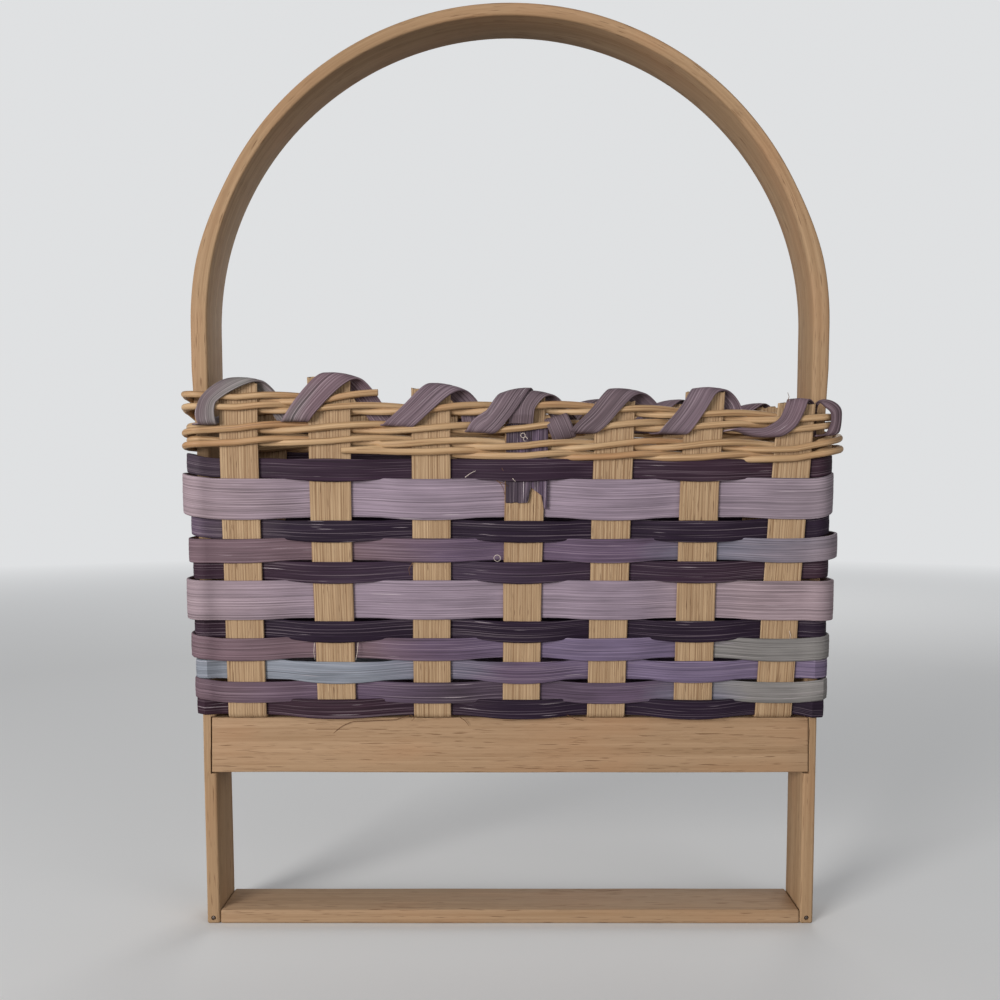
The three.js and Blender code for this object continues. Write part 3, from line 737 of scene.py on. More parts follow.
# %% Where the wall and the stakes stand
stake_count = 7
stake_low, stake_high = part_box("stake_1")
stake_thickness = 1.2 * mm
rim_z = stake_high.z
fold_radius = 2 * mm
fold_z = stake_low.z + stake_thickness / 2 + fold_radius
fold_overhang = 2.2 * mm
fold_half = half_depth + fold_overhang
rim_half = stake_high.y - stake_thickness / 2
wall_lean = (rim_half - fold_half) / (rim_z - fold_z)

# For each stake: how far it stands from an even spacing at its top, at the first row and at the rail, its
# widths at the rim and the rail, and its tops in front and behind
stakes = [
    {"sway": (-0.2, -0.2, 0.0), "width": (14.9, 15.2), "tops": (215.4, 214.6)},
    {"sway": (-2.0, -2.0, -1.2), "width": (16.6, 15.2), "tops": (217.2, 214.8)},
    {"sway": (1.1, 1.0, 0.6), "width": (15.2, 14.8), "tops": (213.2, 213.8)},
    {"sway": (2.0, 1.5, 0.3), "width": (15.6, 14.8), "tops": (210.4, 212.8)},
    {"sway": (1.8, 0.7, -0.7), "width": (15.5, 15.0), "tops": (208.2, 212.0)},
    {"sway": (1.9, 0.3, -0.7), "width": (15.2, 15.2), "tops": (211.6, 211.8)},
    {"sway": (3.9, 1.6, -2.2), "width": (14.6, 14.6), "tops": (207.4, 210.2)},
]
first_row_z = 175 * mm
for number, stake in enumerate(stakes, start=1):
    low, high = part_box(f"stake_{number}")
    stake["x"] = (low.x + high.x) / 2


def wall_half(z):
    return fold_half + (z - fold_z) * wall_lean


def stake_rise(z):
    return np.clip((z - fold_z) / (rim_z - fold_z), 0, 1.05)


def stake_x(number, z):
    stake = stakes[number - 1]
    top, first_row, rail = stake["sway"]
    sway = np.interp(z, [fold_z, first_row_z, rim_z], [rail, first_row, top])
    return stake["x"] + float(sway) * mm


def stake_width(number, z):
    rim, rail = stakes[number - 1]["width"]
    return (rail + (rim - rail) * stake_rise(z)) * mm


print("wall leans by", round(math.degrees(math.atan(wall_lean)), 1), "degrees")

# %% The stakes
reed_step = 1.5 * mm
stake_section = 15 * mm


def stake_line(number):
    """The stake's middle line in Y and Z from the front top to the back one, with a point every reed_step."""
    tops = [top * mm for top in stakes[number - 1]["tops"]]
    arc = np.radians(np.linspace(0, 90, 7))
    side = []
    for top in tops:
        heights = np.linspace(top, fold_z, int((top - fold_z) / reed_step))
        bend = [(fold_half - fold_radius * (1 - math.cos(a)), fold_z - fold_radius * math.sin(a))
                for a in arc[1:]]
        side.append([(wall_half(z), z) for z in heights] + bend)
    front = [(-y, z) for y, z in side[0]]
    under = [(y, fold_z - fold_radius) for y in np.linspace(front[-1][0], side[1][-1][0], 16)[1:-1]]
    return np.array(front + under + side[1][::-1])


def make_stake(number):
    line = stake_line(number)
    steps = len(line)
    run = np.gradient(line, axis=0)
    run /= np.linalg.norm(run, axis=1)[:, None]
    normal = np.stack([run[:, 1], -run[:, 0]], axis=1)
    along = np.concatenate([[0], np.cumsum(np.linalg.norm(np.diff(line, axis=0), axis=1))])
    section = flat_section(stake_section, stake_thickness)
    wide = np.array([stake_width(number, z) for z in line[:, 1]]) / stake_section
    middle = np.array([stake_x(number, z) for z in line[:, 1]])
    middle = middle + 0.15 * mm * uneven(along / (25 * mm), 0, 40 + number)
    across = section[None, :, 0] * wide[:, None]
    through = np.broadcast_to(section[None, :, 1], across.shape)
    lift = fibre_relief(along[:, None], section[None, :, 0], through, 60 + number, 0.07 * mm)
    # The ends were cut with shears, and their fibres stand at different lengths
    ragged = np.zeros((steps, len(section)))
    ragged[0] = 0.55 * mm * uneven(section[:, 0] / (0.8 * mm) + 30, 3, 80 + number)
    ragged[-1] = -0.55 * mm * uneven(section[:, 0] / (0.8 * mm) + 30, 9, 80 + number)
    out = through + lift
    rings = np.stack([
        middle[:, None] + across,
        line[:, 0, None] + normal[:, 0, None] * out + run[:, 0, None] * ragged,
        line[:, 1, None] + normal[:, 1, None] * out + run[:, 1, None] * ragged,
    ], axis=2)
    lies = lie_in_strip(along[:, None] + number, across, through)
    return roll_reed(f"stake_reed_{number}", rings, lies)


for number in range(1, stake_count + 1):
    dress(make_stake(number), stake_reed, "stake_reed", f"stake_{number}")

# %% [markdown]
# ## The plan of the wall
#
# Everything woven follows one line round the basket: straight in front, a quarter ellipse at each corner
# and straight past each leg. A place on a reed is a distance along that line, a distance out from the
# wall's middle and a height. The uprights that the reeds pass, seven stakes in front, a leg, seven behind
# and a leg, lie on it too.

# %% The plan
corner_margin = 8.6 * mm
corner_start = max(stake_x(stake_count, rim_z), -stake_x(1, rim_z)) + corner_margin
stake_play = 0.3 * mm


def half_wave(share):
    """From 0 to 1 as half a wave, so that a reed swings over gently."""
    return (1 - np.cos(math.pi * share)) / 2


class Plan:
    """The wall's line at one height, and the uprights along it."""

    def __init__(self, z):
        self.z = z
        self.leg = leg_middle(z)
        self.wall = wall_half(z)
        self.turn_x = self.leg - corner_start
        self.turn_y = self.wall - half_depth
        self.front = 2 * corner_start
        self.turn = math.pi / 2 * math.sqrt((self.turn_x ** 2 + self.turn_y ** 2) / 2)
        self.half = self.front + 2 * self.turn + 2 * half_depth
        self.lap = 2 * self.half
        self.uprights = []
        for number in range(1, stake_count + 1):
            self.upright("front", number, corner_start + stake_x(number, z))
        self.upright("leg", None, self.front + self.turn + half_depth)
        for number in range(stake_count, 0, -1):
            self.upright("back", number, self.half + corner_start - stake_x(number, z))
        self.upright("leg", None, self.half + self.front + self.turn + half_depth)

    def upright(self, side, number, along):
        leg = side == "leg"
        half_width = half_depth if leg else stake_width(number, self.z) / 2 + stake_play
        thickness = hoop_thickness if leg else stake_thickness
        self.uprights.append(
            {"side": side, "number": number, "along": along, "half_width": half_width, "half": thickness / 2})

    def line(self, along):
        """Points of the wall's line in plan and the way out there."""
        whole = np.mod(along, self.lap)
        behind = whole >= self.half
        here = np.where(behind, whole - self.half, whole)
        first = np.clip((here - self.front) / self.turn, 0, 1) * math.pi / 2
        second = np.clip((here - self.front - self.turn - 2 * half_depth) / self.turn, 0, 1) * math.pi / 2
        angle = first + second
        past_leg = np.clip(here - self.front - self.turn, 0, 2 * half_depth)
        x = np.where(here <= self.front, here - corner_start, corner_start + self.turn_x * np.sin(angle))
        y = past_leg - half_depth - self.turn_y * np.cos(angle)
        normal_x = np.sin(angle) / self.turn_x
        normal_y = -np.cos(angle) / self.turn_y
        size = np.hypot(normal_x, normal_y)
        flip = np.where(behind, -1, 1)
        return flip * x, flip * y, flip * normal_x / size, flip * normal_y / size

    def at(self, along, out, height):
        """Points at distances along and out from the line, and at heights."""
        along, out, height = np.broadcast_arrays(along, out, height)
        x, y, normal_x, normal_y = self.line(along)
        rise = height - self.z
        x = x + normal_x * (out - rise * math.tan(leg_slant))
        y = y + normal_y * (out + rise * wall_lean)
        return np.stack([x, y, height], axis=-1)

    def along_uprights(self, along, values):
        """A value that holds at each upright and swings over to the next one's in the gap between them."""
        ups = self.uprights
        count = len(ups)
        whole = np.mod(along - ups[0]["along"], self.lap)
        starts = np.array([up["along"] - ups[0]["along"] for up in ups] + [self.lap])
        index = np.clip(np.searchsorted(starts, whole, side="right") - 1, 0, count - 1)
        here = np.array([up["half_width"] for up in ups])
        values = np.asarray(values, float)
        leave = starts[index] + here[index]
        arrive = starts[index + 1] - np.append(here[1:], here[0])[index]
        share = np.clip((whole - leave) / (arrive - leave), 0, 1)
        swing = half_wave(share)
        return values[index] * (1 - swing) + np.append(values[1:], values[0])[index] * swing


def from_middles(plan, along, values):
    """A value that is reached at the middle of each upright and swings all the way to the next one's."""
    centres = np.array([up["along"] for up in plan.uprights])
    knots = np.concatenate([centres - plan.lap, centres, centres + plan.lap, centres + 2 * plan.lap])
    values = np.tile(np.asarray(values, float), 4)
    along = np.asarray(along, float)
    index = np.clip(np.searchsorted(knots, along, side="right") - 1, 0, len(knots) - 2)
    share = np.clip((along - knots[index]) / (knots[index + 1] - knots[index]), 0, 1)
    swing = half_wave(share)
    return values[index] * (1 - swing) + values[index + 1] * swing


middle_plan = Plan((fold_z + rim_z) / 2)
print("once round the wall, mm:", round(middle_plan.lap / mm))

# %% [markdown]
# ## The woven rows
#
# Each row is one flat reed that goes in front of every second stake and behind the others, once round, and
# ends on its own beginning behind a stake. The next row goes the other way about. A row is pressed down
# where it is outside and up where it is inside, so the edges of neighbours lap over each other. Past the
# legs a stiff broad reed can't turn as sharply as a narrow one, so it stands further out.

# %% The rows
# The rows from the top down, with lengths in mm:
# over: 0 for a row that is outside the even stakes in front, 1 for one that is outside the odd ones
# widths: outside a stake, between stakes, inside a stake and past a leg
# rise: how far its middle lies from an even spacing
# bow: how far it is pressed down outside a stake, and up inside one
# lifts: how much higher it passes the left leg, the right leg and the back
# bulge: how far it stands out from the left and the right leg
# drift: its dyes from left to right
rows = [
    {"over": 0, "widths": (9.1, 7.8, 7.4, 7.0), "rise": -0.8, "bow": (0.7, -0.1),
     "lifts": (2.6, 1.9, 4.6), "bulge": (1.5, 1.3),
     "drift": [(-130, "slate"), (-95, "purple"), (30, "purple"), (110, "plum")]},
    {"over": 1, "widths": (16.1, 15.4, 16.1, 15.6), "rise": -0.45, "bow": (0.6, 0.5),
     "lifts": (2.35, 2.75, 2.7), "bulge": (3.4, 1.8),
     "drift": [(-130, "pink grey"), (-60, "lavender"), (60, "lavender"), (130, "stone lavender")]},
    {"over": 0, "widths": (8.7, 7.6, 8.7, 6.2), "rise": -0.9, "bow": (0.75, 0.0),
     "lifts": (1.7, 2.2, 1.9), "bulge": (0.4, 0.8),
     "drift": [(-130, "mauve"), (-108, "slate"), (-90, "dark purple"), (130, "dark purple")]},
    {"over": 1, "widths": (9.6, 9.0, 9.6, 9.5), "rise": -0.55, "bow": (0.95, 0.0),
     "lifts": (-0.45, 1.45, 0.6), "bulge": (1.6, 4.2),
     "drift": [(-130, "brown mauve"), (-60, "brown mauve"), (-20, "mauve"), (50, "mauve"), (80, "blue grey"),
               (130, "stone lavender")]},
    {"over": 0, "widths": (8.7, 7.7, 8.7, 6.8), "rise": -1.6, "bow": (0.95, 0.3),
     "lifts": (0.1, 0.8, 0.3), "bulge": (0.2, 1.0),
     "drift": [(-130, "plum"), (-80, "purple"), (-20, "dusk"), (60, "purple"), (130, "plum")]},
    {"over": 1, "widths": (15.7, 15.2, 15.7, 16.0), "rise": -1.35, "bow": (0.3, 0.2),
     "lifts": (0.35, -0.25, 0.0), "bulge": (3.0, 3.4),
     "drift": [(-130, "pink grey"), (-60, "lavender"), (50, "lavender"), (90, "pink grey"),
               (130, "pink grey")]},
    {"over": 0, "widths": (8.7, 7.6, 8.7, 5.6), "rise": -1.5, "bow": (0.95, 0.5),
     "lifts": (0.7, 0.5, 0.0), "bulge": (0.3, 0.8),
     "drift": [(-130, "plum"), (-100, "dark purple"), (130, "dark purple")]},
    {"over": 1, "widths": (9.2, 8.6, 9.2, 9.2), "rise": -1.05, "bow": (0.95, 0.2),
     "lifts": (1.55, 0.8, 0.0), "bulge": (1.8, 2.0),
     "drift": [(-130, "brown mauve"), (-60, "brown mauve"), (-30, "mauve"), (20, "violet"), (70, "violet"),
               (84, "grey green"), (130, "grey green")]},
    {"over": 0, "widths": (8.9, 7.6, 8.9, 6.9), "rise": -2.6, "bow": (0.95, 0.35),
     "lifts": (0.4, 0.6, 0.0), "bulge": (0.3, 1.6),
     "drift": [(-130, "pale blue"), (-60, "pale blue"), (-30, "blue grey"), (0, "mauve"), (50, "violet"),
               (130, "violet")]},
    {"over": 1, "widths": (8.5, 8.2, 8.5, 8.2), "rise": -3.3, "bow": (0.95, 0.0),
     "lifts": (1.8, 1.35, 0.0), "bulge": (0.7, 1.6),
     "drift": [(-130, "brown mauve"), (-60, "mauve"), (-20, "slate"), (50, "mauve"), (76, "blue grey"),
               (95, "grey green"), (130, "grey green")]},
    {"over": 0, "widths": (8.0, 7.2, 8.0, 6.3), "rise": -2.4, "bow": (0.95, 0.6),
     "lifts": (0.6, -0.8, 0.0), "bulge": (0.2, 0.8),
     "drift": [(-130, "plum"), (-60, "plum"), (0, "dark purple"), (130, "dark purple")]},
]
reed_thickness = 1.2 * mm
touch = 0.12 * mm
# How far a row's ends lap over, how proud it stands over a stake, and how much of a leg's lift the stake
# beside it has
row_lap = 9 * mm
row_crown = 0.12 * mm
lift_beside_leg = 0.12
tail_stake = 4
tail_thickness = 0.5 * mm
tail_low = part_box("lash_tail")[0]


def row_slots(number):
    """The record's material slot for a row's node."""
    for part in frame["record"]["subparts"]:
        if part["node"] == f"weave_row_{number:02d}":
            return part["material_slot"]
    return None


def make_row(number, row):
    low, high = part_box(f"weave_row_{number:02d}")
    z = (low.z + high.z) / 2 + row["rise"] * mm
    plan = Plan(z)
    outs, sides, wides, lifts, bows = [], [], [], [], []
    at_stake, between, inside, past_leg = row["widths"]
    for index, up in enumerate(plan.uprights):
        leg = up["side"] == "leg"
        right = index < stake_count + 1
        parity = 0 if leg else up["number"] % 2
        outside = leg or (parity == row["over"]) == (up["side"] == "front")
        reach = up["half"] + touch + reed_thickness / 2
        if leg:
            reach += row["bulge"][right] * mm
        on_tail = up["side"] == "front" and up["number"] == tail_stake and z > tail_low.z
        if outside and on_tail:
            reach += tail_thickness + touch
        outs.append(reach if outside else -reach)
        sides.append(0 if leg else (1 if outside else -1))
        wides.append(past_leg if leg else (at_stake if outside else inside))
        bows.append(0 if leg else (row["bow"][0] if outside else -row["bow"][1]))
        beside_leg = up["side"] == "front" and up["number"] in (1, stake_count)
        share = 1 if leg else (lift_beside_leg if beside_leg else 0)
        lift = row["lifts"][leg and right or not leg and up["number"] == stake_count] * share
        lifts.append((row["lifts"][2] if up["side"] == "back" else lift) * mm)
    # The ends lap behind a stake at the back where the row is inside
    hidden = [up for up, side in zip(plan.uprights, sides) if side < 0 and up["side"] == "back"]
    start_up = hidden[number % len(hidden)]
    start = start_up["along"] - row_lap
    length = plan.lap + 2 * row_lap
    steps = int(length / reed_step)
    along = np.linspace(0, length, steps)
    place = start + along
    out = plan.along_uprights(place, outs)
    held = np.abs(from_middles(plan, place, np.where(np.array(sides) == 0, 1, sides)))
    wide = between + (from_middles(plan, place, wides) - between) * held
    sway = 0.22 * mm * uneven(along / (30 * mm), 0, 100 + number)
    bow = from_middles(plan, place, bows) * mm * (1 + 0.25 * uneven(along / (36 * mm), 4, 100 + number))
    height = z - bow + plan.along_uprights(place, lifts) + sway * (1 - 0.5 * held)
    inward = np.clip((along - (length - 3.2 * row_lap)) / (1.2 * row_lap), 0, 1)
    inward = inward * inward * (3 - 2 * inward)
    out = out - inward * (reed_thickness + touch)
    # The reed stands a little proud in the middle of a stake, and takes its width between stakes where it
    # crosses its neighbours
    section = flat_section(at_stake * mm, reed_thickness)
    across = section[None, :, 0] * (wide / at_stake)[:, None]
    crown = row_crown * (1 - (2 * section[None, :, 0] / (at_stake * mm)) ** 2)
    through = np.broadcast_to(section[None, :, 1], across.shape)
    lift = fibre_relief(along[:, None], section[None, :, 0], through, 120 + number)
    relief = 0.07 * mm * uneven(along / (14 * mm), 5, 140 + number)
    off = (out + relief)[:, None] + through + lift + crown
    rings = plan.at(place[:, None], off, height[:, None] + across)
    lies = lie_in_strip(along[:, None] + 3 * number, across, through)
    return roll_reed(f"row_reed_{number:02d}", rings, lies)


for number, row in enumerate(rows, start=1):
    finish = dyed_reed(f"dyed_reed_{number:02d}", row["drift"])
    dress(make_row(number, row), finish, row_slots(number), f"weave_row_{number:02d}")

# %% [markdown]
# ## The twining
#
# Two round reeds go four times round the rim as one long spiral. The pair turns about itself between the
# stakes, so that at each upright one reed is outside and the other inside. Each comes out low, climbs as it
# passes in front, and goes in high over its partner. The reeds were beaten down harder towards the right of
# the front, so the spiral's height is kept for each stake and each lap. The two long reeds are then cut
# into one piece a lap.

# %% The heights of the twining
rows_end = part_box("rim_twine_1_a")[0].z - 2.2 * mm
# The height in mm over the rows at stakes 3 to 7, the right leg, stakes 7 and 1 behind, the left leg and
# stakes 1 and 2, lap by lap
twine_levels = [
    [2.7, 1.3, 1.0, 0.9, 0.5, 5.0, 6.8, 6.2, 5.2, 6.5, 6.8],
    [6.9, 5.1, 5.5, 5.7, 4.0, 9.7, 11.0, 11.1, 10.2, 11.8, 12.5],
    [12.2, 11.8, 13.1, 12.7, 11.6, 14.1, 14.5, 15.0, 19.2, 19.7, 19.7],
    [18.9, 20.0, 19.2, 17.5, 15.3, 17.1, 20.6, 22.2, 25.0, 23.9, 23.1],
]
twine_radius = 1.3 * mm
twine_laps = len(twine_levels)
first_after_seam = 3


def level_places(plan):
    """Where along the wall the heights hold, counted from the seam between the second and third stake."""
    ups = plan.uprights
    front = [ups[n - 1]["along"] for n in range(first_after_seam, stake_count + 1)]
    corners = [ups[stake_count]["along"] - half_depth, ups[stake_count + 1]["along"],
               ups[2 * stake_count]["along"], ups[2 * stake_count + 1]["along"] + half_depth]
    again = [ups[n - 1]["along"] + plan.lap for n in range(1, first_after_seam)]
    return np.array(front + corners + again)


def seam_place(plan):
    ups = plan.uprights
    before, after = ups[first_after_seam - 2], ups[first_after_seam - 1]
    return (before["along"] + before["half_width"] + after["along"] - after["half_width"]) / 2


def level_at(plan, along, laps):
    """The twining's height over the rows at a distance along the wall, in one of the laps."""
    places = level_places(plan)
    whole = np.mod(along - seam_place(plan), plan.lap) + seam_place(plan)
    knots = np.concatenate([places - plan.lap, places, places + plan.lap])
    lap = min(max(laps, 0), twine_laps - 1)
    before = twine_levels[lap - 1] if lap > 0 else twine_levels[lap]
    after = twine_levels[lap + 1] if lap + 1 < twine_laps else twine_levels[lap]
    return np.interp(whole, knots, before + twine_levels[lap] + after) * mm


print("twining rows:", twine_laps, "rows end at, mm:", round(rows_end / mm, 1))

# %% Twined pairs
# How far the twining stands out past the left and the right leg, for each lap
twine_bulges = [(1.5, 4.3), (1.5, 3.9), (1.3, 0.4), (1.3, 0.4)]
climb_height = 1.25 * mm
# How far before the seam each of the two reeds starts and ends, in mm
twine_starts = (13.5, 15.1)
twine_ends = (6.5, 1.0)
end_run = 20 * mm


def round_section(radius, sides=12):
    angles = np.linspace(0, 2 * math.pi, sides, endpoint=False)
    return np.stack([radius * np.cos(angles), radius * np.sin(angles)], axis=1)


def twine_side(up, index, strand, lap):
    """1 where a strand passes outside an upright and -1 inside.

    Both go outside a leg, except at the upper right.
    """
    if up["side"] != "leg":
        return 1 if (up["number"] % 2 == 1) == (strand == 0) else -1
    upper_right = index <= stake_count and lap > 1
    return 1 if strand == 0 or not upper_right else -1


def make_twine_reed(strand):
    """One long reed over its four laps: the lap of each of its rings, the rings and how it lies."""
    plan = Plan(rows_end + 13 * mm)
    ups = plan.uprights
    count = len(ups)
    seam = seam_place(plan)
    first = seam - twine_starts[strand] * mm
    last = seam + twine_laps * plan.lap - twine_ends[strand] * mm
    place = np.linspace(first, last, int((last - first) / (1.4 * mm)))
    knots, reaches, half_widths, turned, apart = [], [], [], [strand], []
    for turn in range(-1, count * twine_laps + 1):
        index = (turn + first_after_seam - 1) % count
        wraps = (turn + first_after_seam - 1) // count
        lap = min(max(turn // count, 0), twine_laps - 1)
        up = ups[index]
        side = 1 if turn == -1 else twine_side(up, index, strand, lap)
        reach = up["half"] + 0.06 * mm + twine_radius
        if side > 0 and up["side"] == "leg":
            reach += twine_bulges[lap][index < stake_count + 1] * mm if strand == 0 or lap > 1 else 0
        if side > 0 and up["side"] == "front" and up["number"] == tail_stake:
            reach += tail_thickness
        if reaches and turn > 0:
            turned.append(turned[-1] + (side * reaches[-1] < 0))
        elif reaches:
            turned.append(turned[-1] + 1)
        knots.append(up["along"] + wraps * plan.lap)
        reaches.append(side * reach)
        half_widths.append(up["half_width"])
        # Past the left leg the upper pairs lie one over the other; the lower pairs one within the other
        pair_at_leg = up["side"] == "leg" and turn >= 0
        upper_left = pair_at_leg and lap > 1 and index > stake_count
        spread = 1.6 * strand * mm if pair_at_leg and lap < 2 else 0
        apart.append((1.3 - 2.6 * strand) * mm if upper_left else spread)
    knots, reaches, half_widths = np.array(knots), np.array(reaches), np.array(half_widths)
    index = np.clip(np.searchsorted(knots, place) - 1, 0, len(knots) - 2)
    leave = knots[index] + half_widths[index]
    share = np.clip((place - leave) / (knots[index + 1] - half_widths[index + 1] - leave), 0, 1)
    swing = half_wave(share)
    out = reaches[index] * (1 - swing) + reaches[index + 1] * swing
    places = level_places(plan)
    lap_places = [places + lap * plan.lap for lap in range(twine_laps)]
    all_places = np.concatenate([[places[0] - 20 * mm]] + lap_places)
    all_levels = np.concatenate([[twine_levels[0][0] + 0.6]] + [np.array(lap) for lap in twine_levels])
    level = np.interp(place, np.append(all_places, last), np.append(all_levels, 25.6)) * mm
    # Half a turn of the pair from one upright's middle to the next, except at the corners
    phase = np.interp(place, knots, turned) - strand
    ahead = 1 if strand else -1
    settled = np.clip((place - first) / end_run, 0, 1) * np.clip((last - place) / end_run, 0, 1)
    climb = ahead * np.sin(math.pi * phase) * climb_height * settled
    # The first lap can't sink into the top row
    climb = np.where((climb < 0) & (place < seam + plan.lap), 0.4 * climb, climb)
    drift = 0.3 * mm * uneven(place / (40 * mm) + 60, 1, 200 + strand) * settled
    height = rows_end + level + climb + drift + np.interp(place, knots, apart)
    radius = twine_radius * (1 + 0.07 * uneven(place / (50 * mm) + 60, 3, 220 + strand))
    section = round_section(1.0)
    across = section[None, :, 0] * radius[:, None]
    through = section[None, :, 1] * radius[:, None]
    rings = plan.at(place[:, None], out[:, None] + through, height[:, None] + across)
    lies = lie_in_strip((place - first)[:, None] + 2 * strand, across, through)
    laps = np.floor(np.clip(place - seam, 0, None) / plan.lap).astype(int)
    return np.minimum(laps, twine_laps - 1), rings, lies


def join(first, *others):
    """Makes one piece of several skins."""
    select_only(first)
    for other in others:
        other.select_set(True)
    bpy.ops.object.join()
    first.select_set(False)
    return first


strands = [make_twine_reed(strand) for strand in (0, 1)]
for lap in range(twine_laps):
    pair = []
    for laps, rings, lies in strands:
        steps = np.flatnonzero(laps == lap)
        steps = np.append(steps, steps[-1] + 1) if lap + 1 < twine_laps else steps
        pair.append(roll_reed(f"twined_pair_{lap + 1}", rings[steps], lies[steps]))
    nodes = [f"rim_twine_{lap + 1}_{name}" for name in "ab"]
    dress(join(*pair), twine_reed, "twine_reed", *nodes)
print("twined pairs:", twine_laps)

# %% [markdown]
# ## The lashing
#
# One thin dyed strip is wound over the upper twining. It comes out under it in the gap between two stakes,
# slants up to the right, arches over the next stake's top and goes down inside. The rim's section is a
# rounded box that the strip goes round, from a slot between the lower and the upper twining. How far along
# the wall it has come at the slot, on its way up, on the crest and inside is kept for each loop, because no
# two were pulled alike.

# %% The rim's section
lash_thickness = 0.8 * mm
lash_width = 9.7 * mm
box_half = stake_thickness / 2 + 2 * twine_radius + 0.2 * mm + lash_thickness / 2
leg_box_half = hoop_thickness / 2 + 2 * twine_radius + 0.3 * mm + lash_thickness / 2
section_height = 17 * mm
slot_round = 1.5 * mm
arch_rise = 6.5 * mm


def rim_section():
    """The rounded box that the lashing lies on, from the slot outwards and round, as shares of a lap."""
    quarter = np.linspace(0, math.pi / 2, 16)
    outer = [(0.0, 0.0)]
    outer += [(box_half - slot_round + slot_round * math.sin(a), slot_round * (1 - math.cos(a)))
              for a in quarter]
    outer += [(box_half * math.cos(a), section_height - arch_rise * (1 - math.sin(a))) for a in quarter]
    outer = np.array(outer)
    whole = np.concatenate([outer, outer[::-1][1:] * [-1, 1]])
    travel = np.concatenate([[0], np.cumsum(np.linalg.norm(np.diff(whole, axis=0), axis=1))])
    even = np.linspace(0, travel[-1], 241)
    out, up = np.interp(even, travel, whole[:, 0]), np.interp(even, travel, whole[:, 1])
    window = np.ones(9) / 9
    out = np.convolve(np.concatenate([out[-5:-1], out, out[1:5]]), window, "valid")
    up = np.convolve(np.concatenate([up[-5:-1], up, up[1:5]]), window, "valid")
    return even, out, up, travel[-1]


section_travel, section_out, section_up, girth = rim_section()
section_normal_out = np.gradient(section_up, section_travel)
section_normal_up = -np.gradient(section_out, section_travel)
# How far the arches lie over a stake's top and over the twining, and how much they fall within which run
crest_clear = 1.7 * mm
crest_over_twine = 0.9 * mm
crest_fall = 1.7 * mm
crest_run = 10 * mm
high_loop = ("front", 5)
high_loop_rise = 3 * mm
corner_crest = 210.4 * mm
# The height in mm over the rows of the slot that each loop comes out of, at the front stakes, the right
# leg, behind and at the left leg
slot_levels = [13.4, 14.8, 12.7, 9.9, 10.2, 9.9, 8.5, 9.6] + [12.9] * stake_count + [13.6]
# At the last loop of the front the slot is higher, so far before its stake and over such a run
last_loop_rise = 2.2 * mm
last_loop_before = 25 * mm
last_loop_run = 6 * mm


def stakes_along(plan):
    return [up["along"] for up in plan.uprights if up["side"] == "front"]


def slot_height(plan, along):
    """The height of the slot that the lashing goes through."""
    places = np.array([up["along"] - 12 * mm for up in plan.uprights])
    knots = np.concatenate([places - plan.lap, places, places + plan.lap])
    last = stakes_along(plan)[-1]
    from_loop = np.mod(along, plan.lap) - last + last_loop_before
    rise = last_loop_rise * np.exp(-((from_loop / last_loop_run) ** 2))
    return rows_end + np.interp(np.mod(along, plan.lap), knots, slot_levels * 3) * mm + rise


def crest_height(plan, along):
    """The height of the lashing's arches: over each stake's top, and lower over the twining between them."""
    whole = np.mod(along, plan.lap)
    twining = rows_end + level_at(plan, along, twine_laps - 1) + twine_radius + crest_over_twine
    corner = plan.uprights[stake_count]["along"] - half_depth - 4 * mm
    crest = np.maximum(twining, corner_crest - crest_fall * ((whole - corner) / crest_run) ** 2)
    for up in plan.uprights:
        if up["side"] == "leg":
            continue
        top = stakes[up["number"] - 1]["tops"][up["side"] == "back"] * mm
        apart = np.abs(np.mod(whole - up["along"] - 1 * mm + plan.lap / 2, plan.lap) - plan.lap / 2)
        extra = high_loop_rise if (up["side"], up["number"]) == high_loop else 0
        arch = top + crest_clear + extra - crest_fall * (apart / crest_run) ** 2
        crest = np.maximum(crest, arch)
    return crest


print("round the rim's section, mm:", round(girth / mm, 1))

# %% Points on the rim
corner_slack = 2.0 * mm


def on_rim(plan, along, travel, through):
    """Points on the rim's box, at distances along the wall, round the box and off its surface."""
    here = np.mod(travel, girth)
    normal_out = np.interp(here, section_travel, section_normal_out)
    normal_up = np.interp(here, section_travel, section_normal_up)
    out = np.interp(here, section_travel, section_out)
    up = np.interp(here, section_travel, section_up)
    outer = [leg_box_half + twine_bulges[-1][index < stake_count + 1] * mm if up_["side"] == "leg" else
             box_half + (up_["side"] == "front" and up_["number"] == tail_stake) * tail_thickness
             for index, up_ in enumerate(plan.uprights)]
    inner = [leg_box_half if up_["side"] == "leg" else box_half for up_ in plan.uprights]
    corner = np.mod(along, plan.lap) - plan.front - 0.5 * plan.turn
    loose = corner_slack * np.exp(-(corner / (6 * mm)) ** 2)
    wide = np.where(out > 0, plan.along_uprights(along, outer) + loose, plan.along_uprights(along, inner))
    slot = slot_height(plan, along)
    tall = crest_height(plan, along) - slot
    height = slot + (up + through * normal_up) * tall / section_height
    return plan.at(along, out / box_half * wide + through * normal_out, height)


